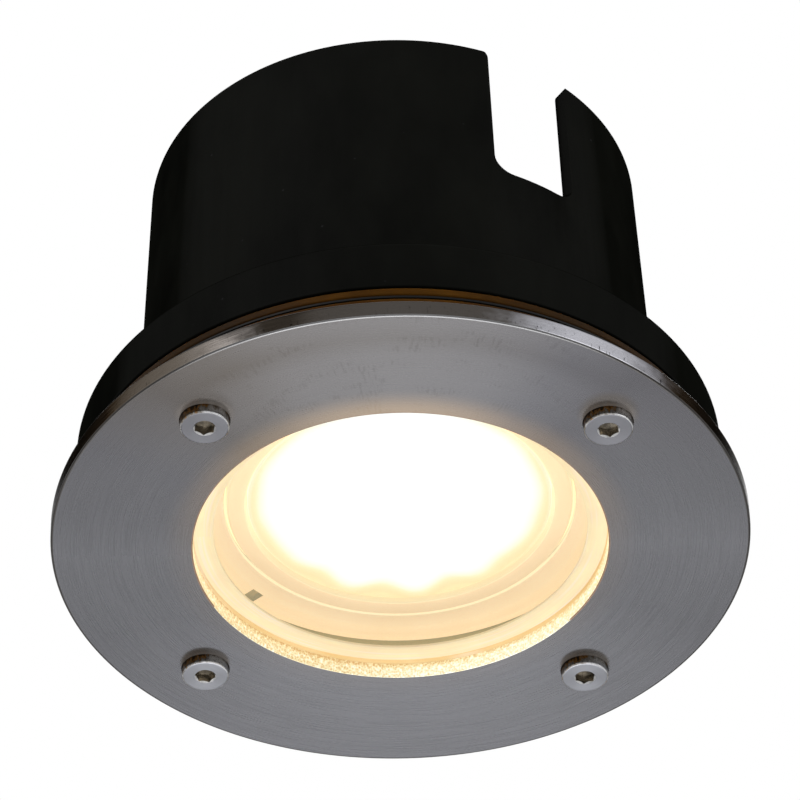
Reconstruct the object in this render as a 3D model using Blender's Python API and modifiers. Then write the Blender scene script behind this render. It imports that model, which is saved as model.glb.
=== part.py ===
"""Recessed downlight: a stainless bezel over a black mounting canister, with a disc lamp in a sealed housing.

Metres, +Z up. The origin is on the light's axis, in the plane of the ceiling, where the bezel's back bears.
The bezel is below that plane, and the canister stands up into the ceiling.
"""

import math

import bmesh
import bpy
from mathutils import Matrix, Vector

# Gaps between neighbours, and how far a cutter runs past what it cuts
FIT_GAP = 0.0003
SEAL_GAP = 0.0002
OVERRUN = 0.001
MERGE_DISTANCE = 0.00001

# Faces in a full turn, and in a rounded corner
TURN_LARGE = 48
TURN_MEDIUM = 28
TURN_SMALL = 12
CORNER_STEPS = 1
BEND_STEPS = 2
SHARP_ANGLE = math.radians(30)

# Round pieces, from the standard disc lamp inwards and outwards: each has a named step on the radius
LAMP_DIAMETER = 0.075
PIN_INSET = 0.011
PIN_SPACING = LAMP_DIAMETER - 2 * PIN_INSET
LAMP_BOSS_STEP = 0.0085
LAMP_BOSS_DIAMETER = PIN_SPACING - 2 * LAMP_BOSS_STEP
HOLDER_ROOM = 0.002
HOLDER_OPENING = LAMP_BOSS_DIAMETER + 2 * HOLDER_ROOM
HOLDER_INSET = 0.001
HOLDER_DIAMETER = LAMP_DIAMETER - 2 * HOLDER_INSET
HOLDER_SCREW_STEP = 0.0015
HOLDER_SCREW_CIRCLE = PIN_SPACING + 2 * HOLDER_SCREW_STEP
PILLAR_STEP = 0.004
PILLAR_CIRCLE = HOLDER_DIAMETER + 2 * PILLAR_STEP
SURROUND_WIDTH = 0.0098
SURROUND_DIAMETER = LAMP_DIAMETER + 2 * SURROUND_WIDTH
PLATE_STEP = 0.0003
PLATE_DIAMETER = SURROUND_DIAMETER + 2 * PLATE_STEP
HOUSING_STEP = 0.0016
HOUSING_DIAMETER = SURROUND_DIAMETER + 2 * HOUSING_STEP
FLANGE_GASKET_STEP = 0.0013
FLANGE_GASKET_OPENING = HOUSING_DIAMETER + 2 * FLANGE_GASKET_STEP
CANISTER_STEP = 0.0084
CANISTER_BASE = HOUSING_DIAMETER + 2 * CANISTER_STEP
CANISTER_TAPER = 0.00245
CANISTER_RIM = CANISTER_BASE - 2 * CANISTER_TAPER
GLASS_STEP = 0.0026
GLASS_DIAMETER = HOUSING_DIAMETER + 2 * GLASS_STEP
OPENING_INSET = 0.0069
BEZEL_OPENING = GLASS_DIAMETER - 2 * OPENING_INSET
LIP_TUCK = 0.0004
LIP_OUTER = BEZEL_OPENING + 2 * LIP_TUCK
LIP_WIDTH = 0.0044
LIP_OPENING = BEZEL_OPENING - 2 * LIP_WIDTH
SCREW_STEP = 0.0078
SCREW_CIRCLE = GLASS_DIAMETER + 2 * SCREW_STEP
COLLAR_STEP = 0.0107
COLLAR_DIAMETER = SCREW_CIRCLE + 2 * COLLAR_STEP
BEZEL_OVERHANG = 0.005
BEZEL_DIAMETER = COLLAR_DIAMETER + 2 * BEZEL_OVERHANG

# Bezel
BEZEL_THICKNESS = 0.004
BEZEL_EDGE = 0.0005
BEARING_GAP = 0.0005
BACK_RECESS = 0.0002

# Bezel screws: low heads with a hexagon socket
SCREW_AZIMUTH = math.radians(47.6)
SCREW_COUNT = 4
SCREW_DIAMETER = 0.006
SCREW_LENGTH = 0.020
SCREW_TIP_EDGE = 0.0004
SCREW_TIP_ROOM = 0.0005
SCREW_HEAD_STEP = 0.00215
SCREW_HEAD_DIAMETER = SCREW_DIAMETER + 2 * SCREW_HEAD_STEP
SCREW_HEAD_HEIGHT = 0.004
SCREW_HEAD_PROUD = 0.0021
SCREW_HEAD_EDGE = 0.0002
SCREW_HEAD_GAP = 0.0002
SOCKET_INSET = 0.001
SOCKET_FLATS = SCREW_DIAMETER - 2 * SOCKET_INSET
SOCKET_DEPTH = 0.0022

# Glass and its silicone gasket, which also seals the bezel to the housing
GLASS_THICKNESS = 0.003
GLASS_EDGE = 0.0004
LIP_RECESS = 0.0009
LIP_THICKNESS = 0.0006
BACK_LIP_THICKNESS = 0.0004
BACK_LIP_OVERLAP = 0.0025
FLANGE_GASKET_THICKNESS = 0.002

# Lamp housing, drawn from sheet steel
SHEET = 0.0006
HOUSING_BEND = 0.003
FLANGE_INSET = 0.0002

# Mounting canister
COLLAR_HEIGHT = 0.0125
COLLAR_WALL = 0.003
CANISTER_WALL = 0.0033
CANISTER_HEIGHT = 0.096
CANISTER_EDGE = 0.0008
RIB_COUNT = 8
RIB_THICKNESS = 0.002
RIB_RECESS = 0.0015
SLOT_WIDTH = 0.0202
SLOT_DEPTH = 0.0372
SLOT_CORNER = 0.0045
SLOT_FLARE = 0.0026
SLOT_AZIMUTH = math.radians(-56)

# Brass thread inserts in the canister's bosses
INSERT_STEP = 0.0014
INSERT_DIAMETER = SCREW_DIAMETER + 2 * INSERT_STEP
INSERT_LENGTH = 0.009
BOSS_STEP = 0.0024
BOSS_DIAMETER = INSERT_DIAMETER + 2 * BOSS_STEP

# Disc lamp with two pins
LAMP_SETBACK = 0.0048
LAMP_HEIGHT = 0.0215
LAMP_EDGE = 0.001
LAMP_RIM = 0.0042
LAMP_WALL = 0.0015
LAMP_LEDGE = 0.002
LAMP_LEDGE_HEIGHT = 0.0018
LAMP_BOSS_HEIGHT = 0.008
DIFFUSER_RECESS = 0.001
DIFFUSER_THICKNESS = 0.0022
LED_CLEARANCE = 0.0032
LED_SIZE = 0.003
LED_HEIGHT = 0.0007
LED_RING_COUNT = 12
LED_RING_INSET = 0.013
LED_RING_RADIUS = LAMP_DIAMETER / 2 - LED_RING_INSET
LED_BOARD_THICKNESS = 0.0016
LED_BOARD_INSET = 0.0025
SINK_THICKNESS = 0.002
SINK_SKIRT = 0.0015
DRIVER_BOARD_THICKNESS = 0.0016
DRIVER_BOARD_BACK = 0.0035
BOSS_ROOM = LAMP_BOSS_DIAMETER / 2 - LAMP_WALL
CAPACITOR_HEIGHT = 0.007
COIL_HEIGHT = 0.006

# The capacitor's radius and place, and the coil's length, width and place, as shares of the room in the boss
capacitor_radius_share = 0.24
capacitor_place_share = 0.36
coil_length_share = 0.54
coil_width_share = 0.60
coil_place_share = 0.42

# Lamp pins
PIN_AZIMUTH = 0.0
PIN_DIAMETER = 0.003
PIN_HEAD_STEP = 0.00095
PIN_HEAD_DIAMETER = PIN_DIAMETER + 2 * PIN_HEAD_STEP
PIN_HEAD_HEIGHT = 0.002
PIN_TAIL = 0.002
TWIST = math.radians(15)

# Bayonet lamp holder
HOLDER_HEIGHT = 0.0137
HOLDER_FACE = 0.0034
HOLDER_EDGE = 0.0008
PIN_CLEARANCE = 0.0004
TRACK_HEIGHT = 0.0036
HOLDER_SCREW_AZIMUTH = math.radians(40)
CONTACT_THICKNESS = 0.0004
CONTACT_WIDTH = 0.003
CONTACT_STUB = 0.0015

# Small screws
SMALL_SCREW_DIAMETER = 0.003
SMALL_HEAD_STEP = 0.0013
SMALL_HEAD_DIAMETER = SMALL_SCREW_DIAMETER + 2 * SMALL_HEAD_STEP
SMALL_HEAD_HEIGHT = 0.002
SMALL_HEAD_SINK = 0.0028
SMALL_HEAD_EDGE = 0.0007
SMALL_TAIL = 0.0012
DRIVE_SLOT = 0.0007
DRIVE_DEPTH = 0.0009

# White ring round the lamp, with a small window, and the plate that carries it
SURROUND_GAP = 0.0005
SURROUND_FACE = 0.0015
SURROUND_WALL = 0.0015
WINDOW_WIDTH = 0.0031
WINDOW_HEIGHT = 0.0031
WINDOW_INSET = 0.0017
WINDOW_AZIMUTH = math.radians(138.2)
NOTCH_WIDTH = 0.0010
NOTCH_HEIGHT = 0.0016
NOTCH_AZIMUTH = math.radians(1)
PLATE_THICKNESS = 0.0015
PLATE_OPENING = 0.024
WIRE_HOLE = 0.006
PILLAR_COUNT = 3
PILLAR_AZIMUTH = math.radians(90)
PILLAR_WALL = 0.0015
PILLAR_FLATS = SMALL_SCREW_DIAMETER + 2 * PILLAR_WALL
PILLAR_LENGTH = 0.018
PILLAR_SCREW_LENGTH = 0.008

# Terminal block and earth point, on the back of the plate
BLOCK_SIZE = (0.036, 0.016, 0.014)
BLOCK_Y = -0.029
BLOCK_EDGE = 0.0008
POLE_COUNT = 3
POLE_PITCH = 0.009
FIRST_POLE_X = -0.013
LEAD_DIAMETER = 0.0022
CLAMP_WALL = 0.0007
CLAMP_DIAMETER = LEAD_DIAMETER + 2 * (CLAMP_WALL + FIT_GAP)
CLAMP_LENGTH = 0.011
CLAMP_SCREW_DIAMETER = 0.0022
CLAMP_SCREW_LENGTH = 0.003
BLOCK_SCREW_X = 0.013
BLOCK_FLOOR = 0.003
EARTH_X = -0.017
EARTH_Y = 0.021
EARTH_TAG_DIAMETER = 0.008
EARTH_TAG_THICKNESS = 0.0008
EARTH_BARREL_WALL = 0.0008
EARTH_BARREL_DIAMETER = LEAD_DIAMETER + 2 * EARTH_BARREL_WALL
EARTH_BARREL_LENGTH = 0.005

# Leads between the holder, the terminal block and the earth point
LEAD_STEPS = 8
LEAD_ROOM = 0.0005
LEAD_POCKET = LEAD_DIAMETER + 2 * LEAD_ROOM
LEAD_GRIP = 0.004
LEAD_RISE = 0.0008
LEAD_EASE = 0.009

# Cable gland in the middle of the housing's back
GLAND_THREAD = 0.0198
GLAND_HEX_STEP = 0.0021
GLAND_FLATS = GLAND_THREAD + 2 * GLAND_HEX_STEP
GLAND_HEX_HEIGHT = 0.006
GLAND_WALL = 0.0037
GLAND_BORE = GLAND_THREAD - 2 * GLAND_WALL
GLAND_NECK_INSET = 0.0004
GLAND_NECK = GLAND_THREAD - 2 * GLAND_NECK_INSET
GLAND_NECK_HEIGHT = 0.006
GLAND_SEAT_WALL = 0.0019
GLAND_SEAT_BORE = GLAND_NECK - 2 * GLAND_SEAT_WALL
GLAND_SEAT_DEPTH = 0.008
GLAND_TAIL = 0.0085
GLAND_WASHER_THICKNESS = 0.0015
GLAND_WASHER_STEP = 0.0015
GLAND_WASHER_DIAMETER = GLAND_FLATS + 2 * GLAND_WASHER_STEP
LOCKNUT_HEIGHT = 0.005
CABLE_BORE_STEP = 0.0022
CABLE_BORE = GLAND_BORE - 2 * CABLE_BORE_STEP
INSERT_RING_HEIGHT = 0.0085
NUT_STEP = 0.00225
NUT_FLATS = GLAND_NECK + 2 * NUT_STEP
NUT_HEX_HEIGHT = 0.008
NUT_DOME_HEIGHT = 0.006
NUT_DOME_INSET = 0.00075
NUT_DOME_DIAMETER = NUT_FLATS - 2 * NUT_DOME_INSET
NUT_DOME_ROUND = 0.005
NUT_MOUTH_STEP = 0.0012
NUT_MOUTH = CABLE_BORE + 2 * NUT_MOUTH_STEP
NUT_WALL = 0.0014

# Heights along the axis, from the bezel's front upwards
BEZEL_FRONT = -BEZEL_THICKNESS
SCREW_FACE = BEZEL_FRONT - SCREW_HEAD_PROUD
SCREW_SEAT = SCREW_FACE + SCREW_HEAD_HEIGHT
GLASS_GASKET_FRONT = SEAL_GAP - BACK_RECESS
LIP_FRONT = LIP_RECESS
LIP_BACK = LIP_FRONT + LIP_THICKNESS
GLASS_FRONT = LIP_BACK + SEAL_GAP
GLASS_BACK = GLASS_FRONT + GLASS_THICKNESS
BACK_LIP_FRONT = GLASS_BACK + SEAL_GAP
GLASS_GASKET_BACK = BACK_LIP_FRONT + BACK_LIP_THICKNESS
FLANGE_FRONT = GLASS_GASKET_BACK + SEAL_GAP
FLANGE_BACK = FLANGE_FRONT + SHEET
FLANGE_GASKET_FRONT = FLANGE_BACK + SEAL_GAP
FLANGE_GASKET_BACK = FLANGE_GASKET_FRONT + FLANGE_GASKET_THICKNESS
COLLAR_FRONT = FLANGE_GASKET_BACK + SEAL_GAP
SHOULDER = COLLAR_FRONT + COLLAR_HEIGHT
LAMP_FRONT = GLASS_BACK + LAMP_SETBACK
LAMP_BACK = LAMP_FRONT + LAMP_HEIGHT
DIFFUSER_FRONT = LAMP_FRONT + DIFFUSER_RECESS
DIFFUSER_BACK = DIFFUSER_FRONT + DIFFUSER_THICKNESS
LEDGE_FRONT = DIFFUSER_BACK + FIT_GAP
LEDGE_BACK = LEDGE_FRONT + LAMP_LEDGE_HEIGHT
LED_FRONT = DIFFUSER_BACK + LED_CLEARANCE
LED_BOARD_FRONT = LED_FRONT + LED_HEIGHT
LED_BOARD_BACK = LED_BOARD_FRONT + LED_BOARD_THICKNESS
SINK_FRONT = LED_BOARD_BACK + FIT_GAP
DRIVER_BOARD_TOP = LAMP_BACK - LAMP_WALL - DRIVER_BOARD_BACK
DRIVER_BOARD_BOTTOM = DRIVER_BOARD_TOP - DRIVER_BOARD_THICKNESS
HOLDER_FRONT = LAMP_BACK + FIT_GAP
HOLDER_BACK = HOLDER_FRONT + HOLDER_HEIGHT
TRACK_FRONT = HOLDER_FRONT + HOLDER_FACE
TRACK_BACK = TRACK_FRONT + TRACK_HEIGHT
CONTACT_BACK = TRACK_BACK + CONTACT_STUB
PIN_HEAD_FRONT = TRACK_FRONT + FIT_GAP
PIN_HEAD_BACK = PIN_HEAD_FRONT + PIN_HEAD_HEIGHT
PLATE_FRONT = HOLDER_BACK + FIT_GAP
PLATE_BACK = PLATE_FRONT + PLATE_THICKNESS
PILLAR_FRONT = PLATE_BACK + FIT_GAP
PILLAR_BACK = PILLAR_FRONT + PILLAR_LENGTH
HOUSING_BACK = PILLAR_BACK + FIT_GAP + SHEET
BLOCK_FRONT = PLATE_BACK + FIT_GAP
BLOCK_BACK = BLOCK_FRONT + BLOCK_SIZE[2]
BLOCK_MIDDLE = (BLOCK_FRONT + BLOCK_BACK) / 2
EARTH_BARREL_MIDDLE = BLOCK_FRONT + EARTH_BARREL_DIAMETER / 2
GLAND_WASHER_FRONT = HOUSING_BACK + FIT_GAP
GLAND_HEX_FRONT = GLAND_WASHER_FRONT + GLAND_WASHER_THICKNESS + FIT_GAP
GLAND_HEX_BACK = GLAND_HEX_FRONT + GLAND_HEX_HEIGHT
GLAND_NECK_BACK = GLAND_HEX_BACK + GLAND_NECK_HEIGHT
GLAND_SEAT = GLAND_NECK_BACK - GLAND_SEAT_DEPTH
NUT_FRONT = GLAND_HEX_BACK + FIT_GAP
NUT_SHOULDER = NUT_FRONT + NUT_HEX_HEIGHT
NUT_BACK = NUT_SHOULDER + NUT_DOME_HEIGHT

# Radii that several pieces share
SCREW_RADIUS = SCREW_CIRCLE / 2
STACK_RADIUS = COLLAR_DIAMETER / 2 - FLANGE_INSET
SCREW_HOLE = SCREW_DIAMETER / 2 + FIT_GAP
HOUSING_INNER = HOUSING_DIAMETER / 2 - SHEET
LAMP_RADIUS = LAMP_DIAMETER / 2
DIFFUSER_RADIUS = LAMP_RADIUS - LAMP_RIM - FIT_GAP
LEDGE_RADIUS = LAMP_RADIUS - LAMP_RIM - LAMP_LEDGE
LAMP_CAVITY = LAMP_RADIUS - LAMP_WALL
LAMP_INNARDS = LAMP_CAVITY - FIT_GAP
PIN_RADIUS = PIN_SPACING / 2
SMALL_HOLE = SMALL_SCREW_DIAMETER / 2 + FIT_GAP
BLOCK_FACE = BLOCK_Y + BLOCK_SIZE[1] / 2


def new_collection(name):
    """A collection of its own in the scene."""
    made = bpy.data.collections.new(name)
    bpy.context.scene.collection.children.link(made)
    return made


for old in list(bpy.data.objects):
    bpy.data.objects.remove(old)
PARTS = new_collection("recessed_downlight")
CUTTERS = new_collection("cutters")


def add_object(name, data, collection=PARTS, at=(0, 0, 0), turn=0.0):
    """An object in a collection, placed at a point and turned about Z."""
    made = bpy.data.objects.new(name, data)
    made.location = at
    made.rotation_euler.z = turn
    collection.objects.link(made)
    return made


def paint(piece, colour, roughness, metallic=0.0):
    """Gives a piece a material of its own."""
    finish = bpy.data.materials.new(piece.name)
    finish.use_nodes = True
    shader = finish.node_tree.nodes["Principled BSDF"]
    shader.inputs["Base Color"].default_value = (*colour, 1)
    shader.inputs["Roughness"].default_value = roughness
    shader.inputs["Metallic"].default_value = metallic
    piece.data.materials.append(finish)
    return piece


def polar(radius, azimuth, z=0.0):
    """The point at that radius and azimuth."""
    return Vector((radius * math.cos(azimuth), radius * math.sin(azimuth), z))


def rounded(corners, steps=CORNER_STEPS):
    """An outline's points, from corners (x, y) or (x, y, radius): a radius turns its corner into an arc."""
    points = []
    for index, corner in enumerate(corners):
        here = Vector(corner[:2])
        if len(corner) < 3:
            points.append(here)
            continue
        before = (Vector(corners[index - 1][:2]) - here).normalized()
        after = (Vector(corners[(index + 1) % len(corners)][:2]) - here).normalized()
        half = before.angle(after) / 2
        centre = here + (before + after).normalized() * (corner[2] / math.sin(half))
        start = here + before * (corner[2] / math.tan(half)) - centre
        sweep = (math.pi - 2 * half) * (1 if before.cross(after) < 0 else -1)
        for step in range(steps + 1):
            points.append(centre + Matrix.Rotation(sweep * step / steps, 2) @ start)
    return points


def turned(name, corners, steps, collection=PARTS, at=(0, 0, 0), corner_steps=CORNER_STEPS):
    """A body of revolution about Z. Its profile of (radius, height) runs down the outer side.
    It ends on the axis, or closes on itself to make a ring."""
    points = rounded(corners, corner_steps)
    edges = [(i, i + 1) for i in range(len(points) - 1)]
    if corners[0][0] > 0:
        edges.append((len(points) - 1, 0))
    mesh = bpy.data.meshes.new(name)
    mesh.from_pydata([(p.x, 0, p.y) for p in points], edges, [])
    piece = add_object(name, mesh, collection, at)
    spin = piece.modifiers.new("turn", "SCREW")
    spin.steps = spin.render_steps = steps
    spin.use_merge_vertices = True
    spin.merge_threshold = MERGE_DISTANCE
    return piece


def ring(name, inner, outer, bottom, top, steps, collection=PARTS, at=(0, 0, 0)):
    """A plain flat ring or tube."""
    corners = [(outer, top), (outer, bottom), (inner, bottom), (inner, top)]
    return turned(name, corners, steps, collection, at)


def rod(name, radius, bottom, top, sides, collection=PARTS, at=(0, 0), turn=0.0):
    """A round rod, or a prism where it has few sides, upright at a point (x, y)."""
    mesh = bpy.data.meshes.new(name)
    shape = bmesh.new()
    ends = {"radius1": radius, "radius2": radius}
    bmesh.ops.create_cone(shape, cap_ends=True, segments=sides, depth=top - bottom, **ends)
    shape.to_mesh(mesh)
    shape.free()
    return add_object(name, mesh, collection, (at[0], at[1], (bottom + top) / 2), turn)


def hexagon(name, flats, bottom, top, collection=PARTS, at=(0, 0)):
    """A hexagon prism, sized across its flats."""
    return rod(name, flats / 2 / math.cos(math.pi / 6), bottom, top, 6, collection, at)


def block(name, size, centre, collection=PARTS, turn=0.0):
    """A box of that size about that centre."""
    mesh = bpy.data.meshes.new(name)
    shape = bmesh.new()
    bmesh.ops.create_cube(shape, size=1, matrix=Matrix.Diagonal((*size, 1)))
    shape.to_mesh(mesh)
    shape.free()
    return add_object(name, mesh, collection, centre, turn)


def outline_solid(name, points, thickness, centre, collection=PARTS):
    """A flat outline in X and Y, made solid: thickness is along Z, about the centre."""
    curve = bpy.data.curves.new(name, "CURVE")
    curve.dimensions = "2D"
    curve.fill_mode = "BOTH"
    curve.extrude = thickness / 2
    spline = curve.splines.new("POLY")
    spline.points.add(len(points) - 1)
    for point, place in zip(spline.points, points):
        point.co = (place[0], place[1], 0, 1)
    spline.use_cyclic_u = True
    drawn = add_object(name, curve, collection, centre)
    mesh = bpy.data.meshes.new_from_object(drawn.evaluated_get(bpy.context.evaluated_depsgraph_get()))
    bpy.data.objects.remove(drawn)
    shape = bmesh.new()
    shape.from_mesh(mesh)
    bmesh.ops.remove_doubles(shape, verts=shape.verts, dist=MERGE_DISTANCE)
    bmesh.ops.recalc_face_normals(shape, faces=shape.faces)
    shape.to_mesh(mesh)
    shape.free()
    return add_object(name, mesh, collection, centre)


def repeat_round(piece, count):
    """Repeats a piece evenly round the Z axis, starting where it stands."""
    guide = bpy.data.objects.new(piece.name + "_step", None)
    guide.matrix_world = Matrix.Rotation(math.tau / count, 4, "Z") @ piece.matrix_basis
    CUTTERS.objects.link(guide)
    array = piece.modifiers.new("round", "ARRAY")
    array.count = count
    array.use_relative_offset = False
    array.use_object_offset = True
    array.offset_object = guide
    return piece


def repeat_row(piece):
    """Repeats a piece along X, once for each pole of the terminal block."""
    array = piece.modifiers.new("row", "ARRAY")
    array.count = POLE_COUNT
    array.use_relative_offset = False
    array.use_constant_offset = True
    array.constant_offset_displace = (POLE_PITCH, 0, 0)
    return piece


def bake(piece):
    """Makes a piece a plain mesh, shaded smooth between its sharp edges."""
    graph = bpy.context.evaluated_depsgraph_get()
    mesh = bpy.data.meshes.new_from_object(piece.evaluated_get(graph))
    mesh.shade_smooth()
    mesh.set_sharp_from_angle(angle=SHARP_ANGLE)
    piece.modifiers.clear()
    piece.data = mesh
    return piece


def make_copies(piece, moves):
    """Bakes a piece and gives each of its copies an object of its own, on the same mesh."""
    name = bake(piece).name
    place = piece.matrix_basis.copy()
    for number, move in enumerate(moves, start=1):
        copy = piece
        if number > 1:
            copy = piece.copy()
            PARTS.objects.link(copy)
        copy.name = "%s_%d" % (name, number)
        copy.matrix_basis = move @ place


def copies_round(piece, count):
    """Copies of a piece, evenly round the Z axis."""
    make_copies(piece, [Matrix.Rotation(math.tau * step / count, 4, "Z") for step in range(count)])


def copies_row(piece):
    """Copies of a piece along X, one for each pole of the terminal block."""
    make_copies(piece, [Matrix.Translation((POLE_PITCH * step, 0, 0)) for step in range(POLE_COUNT)])


def soften(piece, width):
    """Breaks a piece's sharp edges."""
    bevel = piece.modifiers.new("edges", "BEVEL")
    bevel.width = width
    bevel.segments = 1
    return piece


def combine(piece, tool, operation="DIFFERENCE"):
    """Cuts a tool out of a piece, or joins it on. The tool is only a guide."""
    tool.hide_render = True
    tool.display_type = "WIRE"
    boolean = piece.modifiers.new(tool.name, "BOOLEAN")
    boolean.operation = operation
    boolean.object = tool
    return piece


def screw_holes(piece, bottom, top):
    """Cuts the four clearance holes for the bezel screws through a piece."""
    place = polar(SCREW_RADIUS, SCREW_AZIMUTH)
    low, high = bottom - OVERRUN, top + OVERRUN
    hole = rod(piece.name + "_holes", SCREW_HOLE, low, high, TURN_SMALL, CUTTERS, place)
    return combine(piece, repeat_round(hole, SCREW_COUNT))


def make_bezel():
    """Flat stainless ring, with four stepped holes for the screw heads.
    The rim of its back bears on the ceiling, and the rest is sunk a little to seat the gasket."""
    outer, inner = BEZEL_DIAMETER / 2, BEZEL_OPENING / 2
    bearing = outer - BEZEL_OVERHANG + BEARING_GAP
    corners = [
        (bearing, -BACK_RECESS), (bearing, 0), (outer - BEZEL_EDGE, 0), (outer, -BEZEL_EDGE),
        (outer, BEZEL_FRONT + BEZEL_EDGE), (outer - BEZEL_EDGE, BEZEL_FRONT),
        (inner + BEZEL_EDGE, BEZEL_FRONT), (inner, BEZEL_FRONT + BEZEL_EDGE),
        (inner, -BACK_RECESS - BEZEL_EDGE), (inner + BEZEL_EDGE, -BACK_RECESS),
    ]
    bezel = turned("bezel_ring", corners, TURN_LARGE)
    seat = SCREW_SEAT + FIT_GAP
    head_hole = SCREW_HEAD_DIAMETER / 2 + SCREW_HEAD_GAP
    step = [
        (0, OVERRUN), (SCREW_HOLE, OVERRUN), (SCREW_HOLE, seat),
        (head_hole, seat), (head_hole, BEZEL_FRONT - OVERRUN), (0, BEZEL_FRONT - OVERRUN),
    ]
    hole = turned("bezel_holes", step, TURN_SMALL, CUTTERS, polar(SCREW_RADIUS, SCREW_AZIMUTH))
    combine(bezel, repeat_round(hole, SCREW_COUNT))
    return paint(bezel, (0.56, 0.56, 0.57), 0.34, 1.0)


def make_bezel_screws():
    """Four low-head screws, each with a hexagon socket."""
    head, shank = SCREW_HEAD_DIAMETER / 2, SCREW_DIAMETER / 2
    tip = SCREW_SEAT + SCREW_LENGTH
    place = polar(SCREW_RADIUS, SCREW_AZIMUTH)
    corners = [
        (0, tip), (shank - SCREW_TIP_EDGE, tip), (shank, tip - SCREW_TIP_EDGE), (shank, SCREW_SEAT),
        (head, SCREW_SEAT), (head, SCREW_FACE + SCREW_HEAD_EDGE), (head - SCREW_HEAD_EDGE, SCREW_FACE),
        (0, SCREW_FACE),
    ]
    screw = turned("bezel_screw", corners, TURN_SMALL, at=place)
    low, high = SCREW_FACE - OVERRUN, SCREW_FACE + SOCKET_DEPTH
    socket = hexagon("socket", SOCKET_FLATS, low, high, CUTTERS, place)
    combine(screw, socket)
    copies_round(paint(screw, (0.66, 0.66, 0.67), 0.22, 1.0), SCREW_COUNT)


def make_glass_gasket():
    """Silicone ring that wraps the glass's edge and seals it to the bezel and to the housing's flange."""
    groove = GLASS_DIAMETER / 2 + SEAL_GAP
    corners = [
        (STACK_RADIUS, GLASS_GASKET_BACK), (STACK_RADIUS, GLASS_GASKET_FRONT),
        (LIP_OUTER / 2, GLASS_GASKET_FRONT), (LIP_OUTER / 2, LIP_FRONT), (LIP_OPENING / 2, LIP_FRONT),
        (LIP_OPENING / 2, LIP_BACK), (groove, LIP_BACK), (groove, BACK_LIP_FRONT),
        (groove - BACK_LIP_OVERLAP, BACK_LIP_FRONT), (groove - BACK_LIP_OVERLAP, GLASS_GASKET_BACK),
    ]
    gasket = turned("glass_gasket", corners, TURN_LARGE)
    screw_holes(gasket, GLASS_GASKET_FRONT, GLASS_GASKET_BACK)
    return paint(gasket, (0.78, 0.66, 0.42), 0.5)


def make_glass():
    """Clear toughened disc with seamed edges."""
    radius = GLASS_DIAMETER / 2
    corners = [
        (0, GLASS_BACK), (radius - GLASS_EDGE, GLASS_BACK), (radius, GLASS_BACK - GLASS_EDGE),
        (radius, GLASS_FRONT + GLASS_EDGE), (radius - GLASS_EDGE, GLASS_FRONT), (0, GLASS_FRONT),
    ]
    return paint(turned("glass_disc", corners, TURN_LARGE), (0.9, 0.92, 0.9), 0.05)


def make_flange_gasket():
    """Flat silicone ring between the housing's flange and the canister's collar."""
    inner = FLANGE_GASKET_OPENING / 2
    gasket = ring("flange_gasket", inner, STACK_RADIUS, FLANGE_GASKET_FRONT, FLANGE_GASKET_BACK, TURN_LARGE)
    screw_holes(gasket, FLANGE_GASKET_FRONT, FLANGE_GASKET_BACK)
    return paint(gasket, (0.7, 0.52, 0.26), 0.5)


def make_lamp_housing():
    """Black pot drawn from sheet steel, open at the front where its flange turns out."""
    outer = HOUSING_DIAMETER / 2
    bore = GLAND_THREAD / 2 + FIT_GAP
    corners = [
        (bore, HOUSING_BACK), (outer, HOUSING_BACK, HOUSING_BEND), (outer, FLANGE_BACK, SHEET),
        (STACK_RADIUS, FLANGE_BACK), (STACK_RADIUS, FLANGE_FRONT), (HOUSING_INNER, FLANGE_FRONT, 2 * SHEET),
        (HOUSING_INNER, HOUSING_BACK - SHEET, HOUSING_BEND - SHEET), (bore, HOUSING_BACK - SHEET),
    ]
    housing = turned("lamp_housing", corners, TURN_LARGE, corner_steps=BEND_STEPS)
    screw_holes(housing, FLANGE_FRONT, FLANGE_BACK)
    return paint(housing, (0.02, 0.02, 0.02), 0.45)


def cable_slots():
    """A cutter for the two U slots, which face each other across the canister."""
    half = SLOT_WIDTH / 2
    wide = half + 3 * SLOT_FLARE
    floor = CANISTER_HEIGHT - SLOT_DEPTH
    top = CANISTER_HEIGHT
    side = [(wide, top + OVERRUN), (half, top, SLOT_FLARE), (half, floor, SLOT_CORNER)]
    mirrored = [(-corner[0], *corner[1:]) for corner in reversed(side)]
    outline = rounded(side + mirrored, BEND_STEPS)
    cutter = outline_solid("cable_slots", outline, COLLAR_DIAMETER, (0, 0, 0), CUTTERS)
    cutter.rotation_euler = (math.pi / 2, 0, SLOT_AZIMUTH + math.pi / 2)
    return cutter


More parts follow.
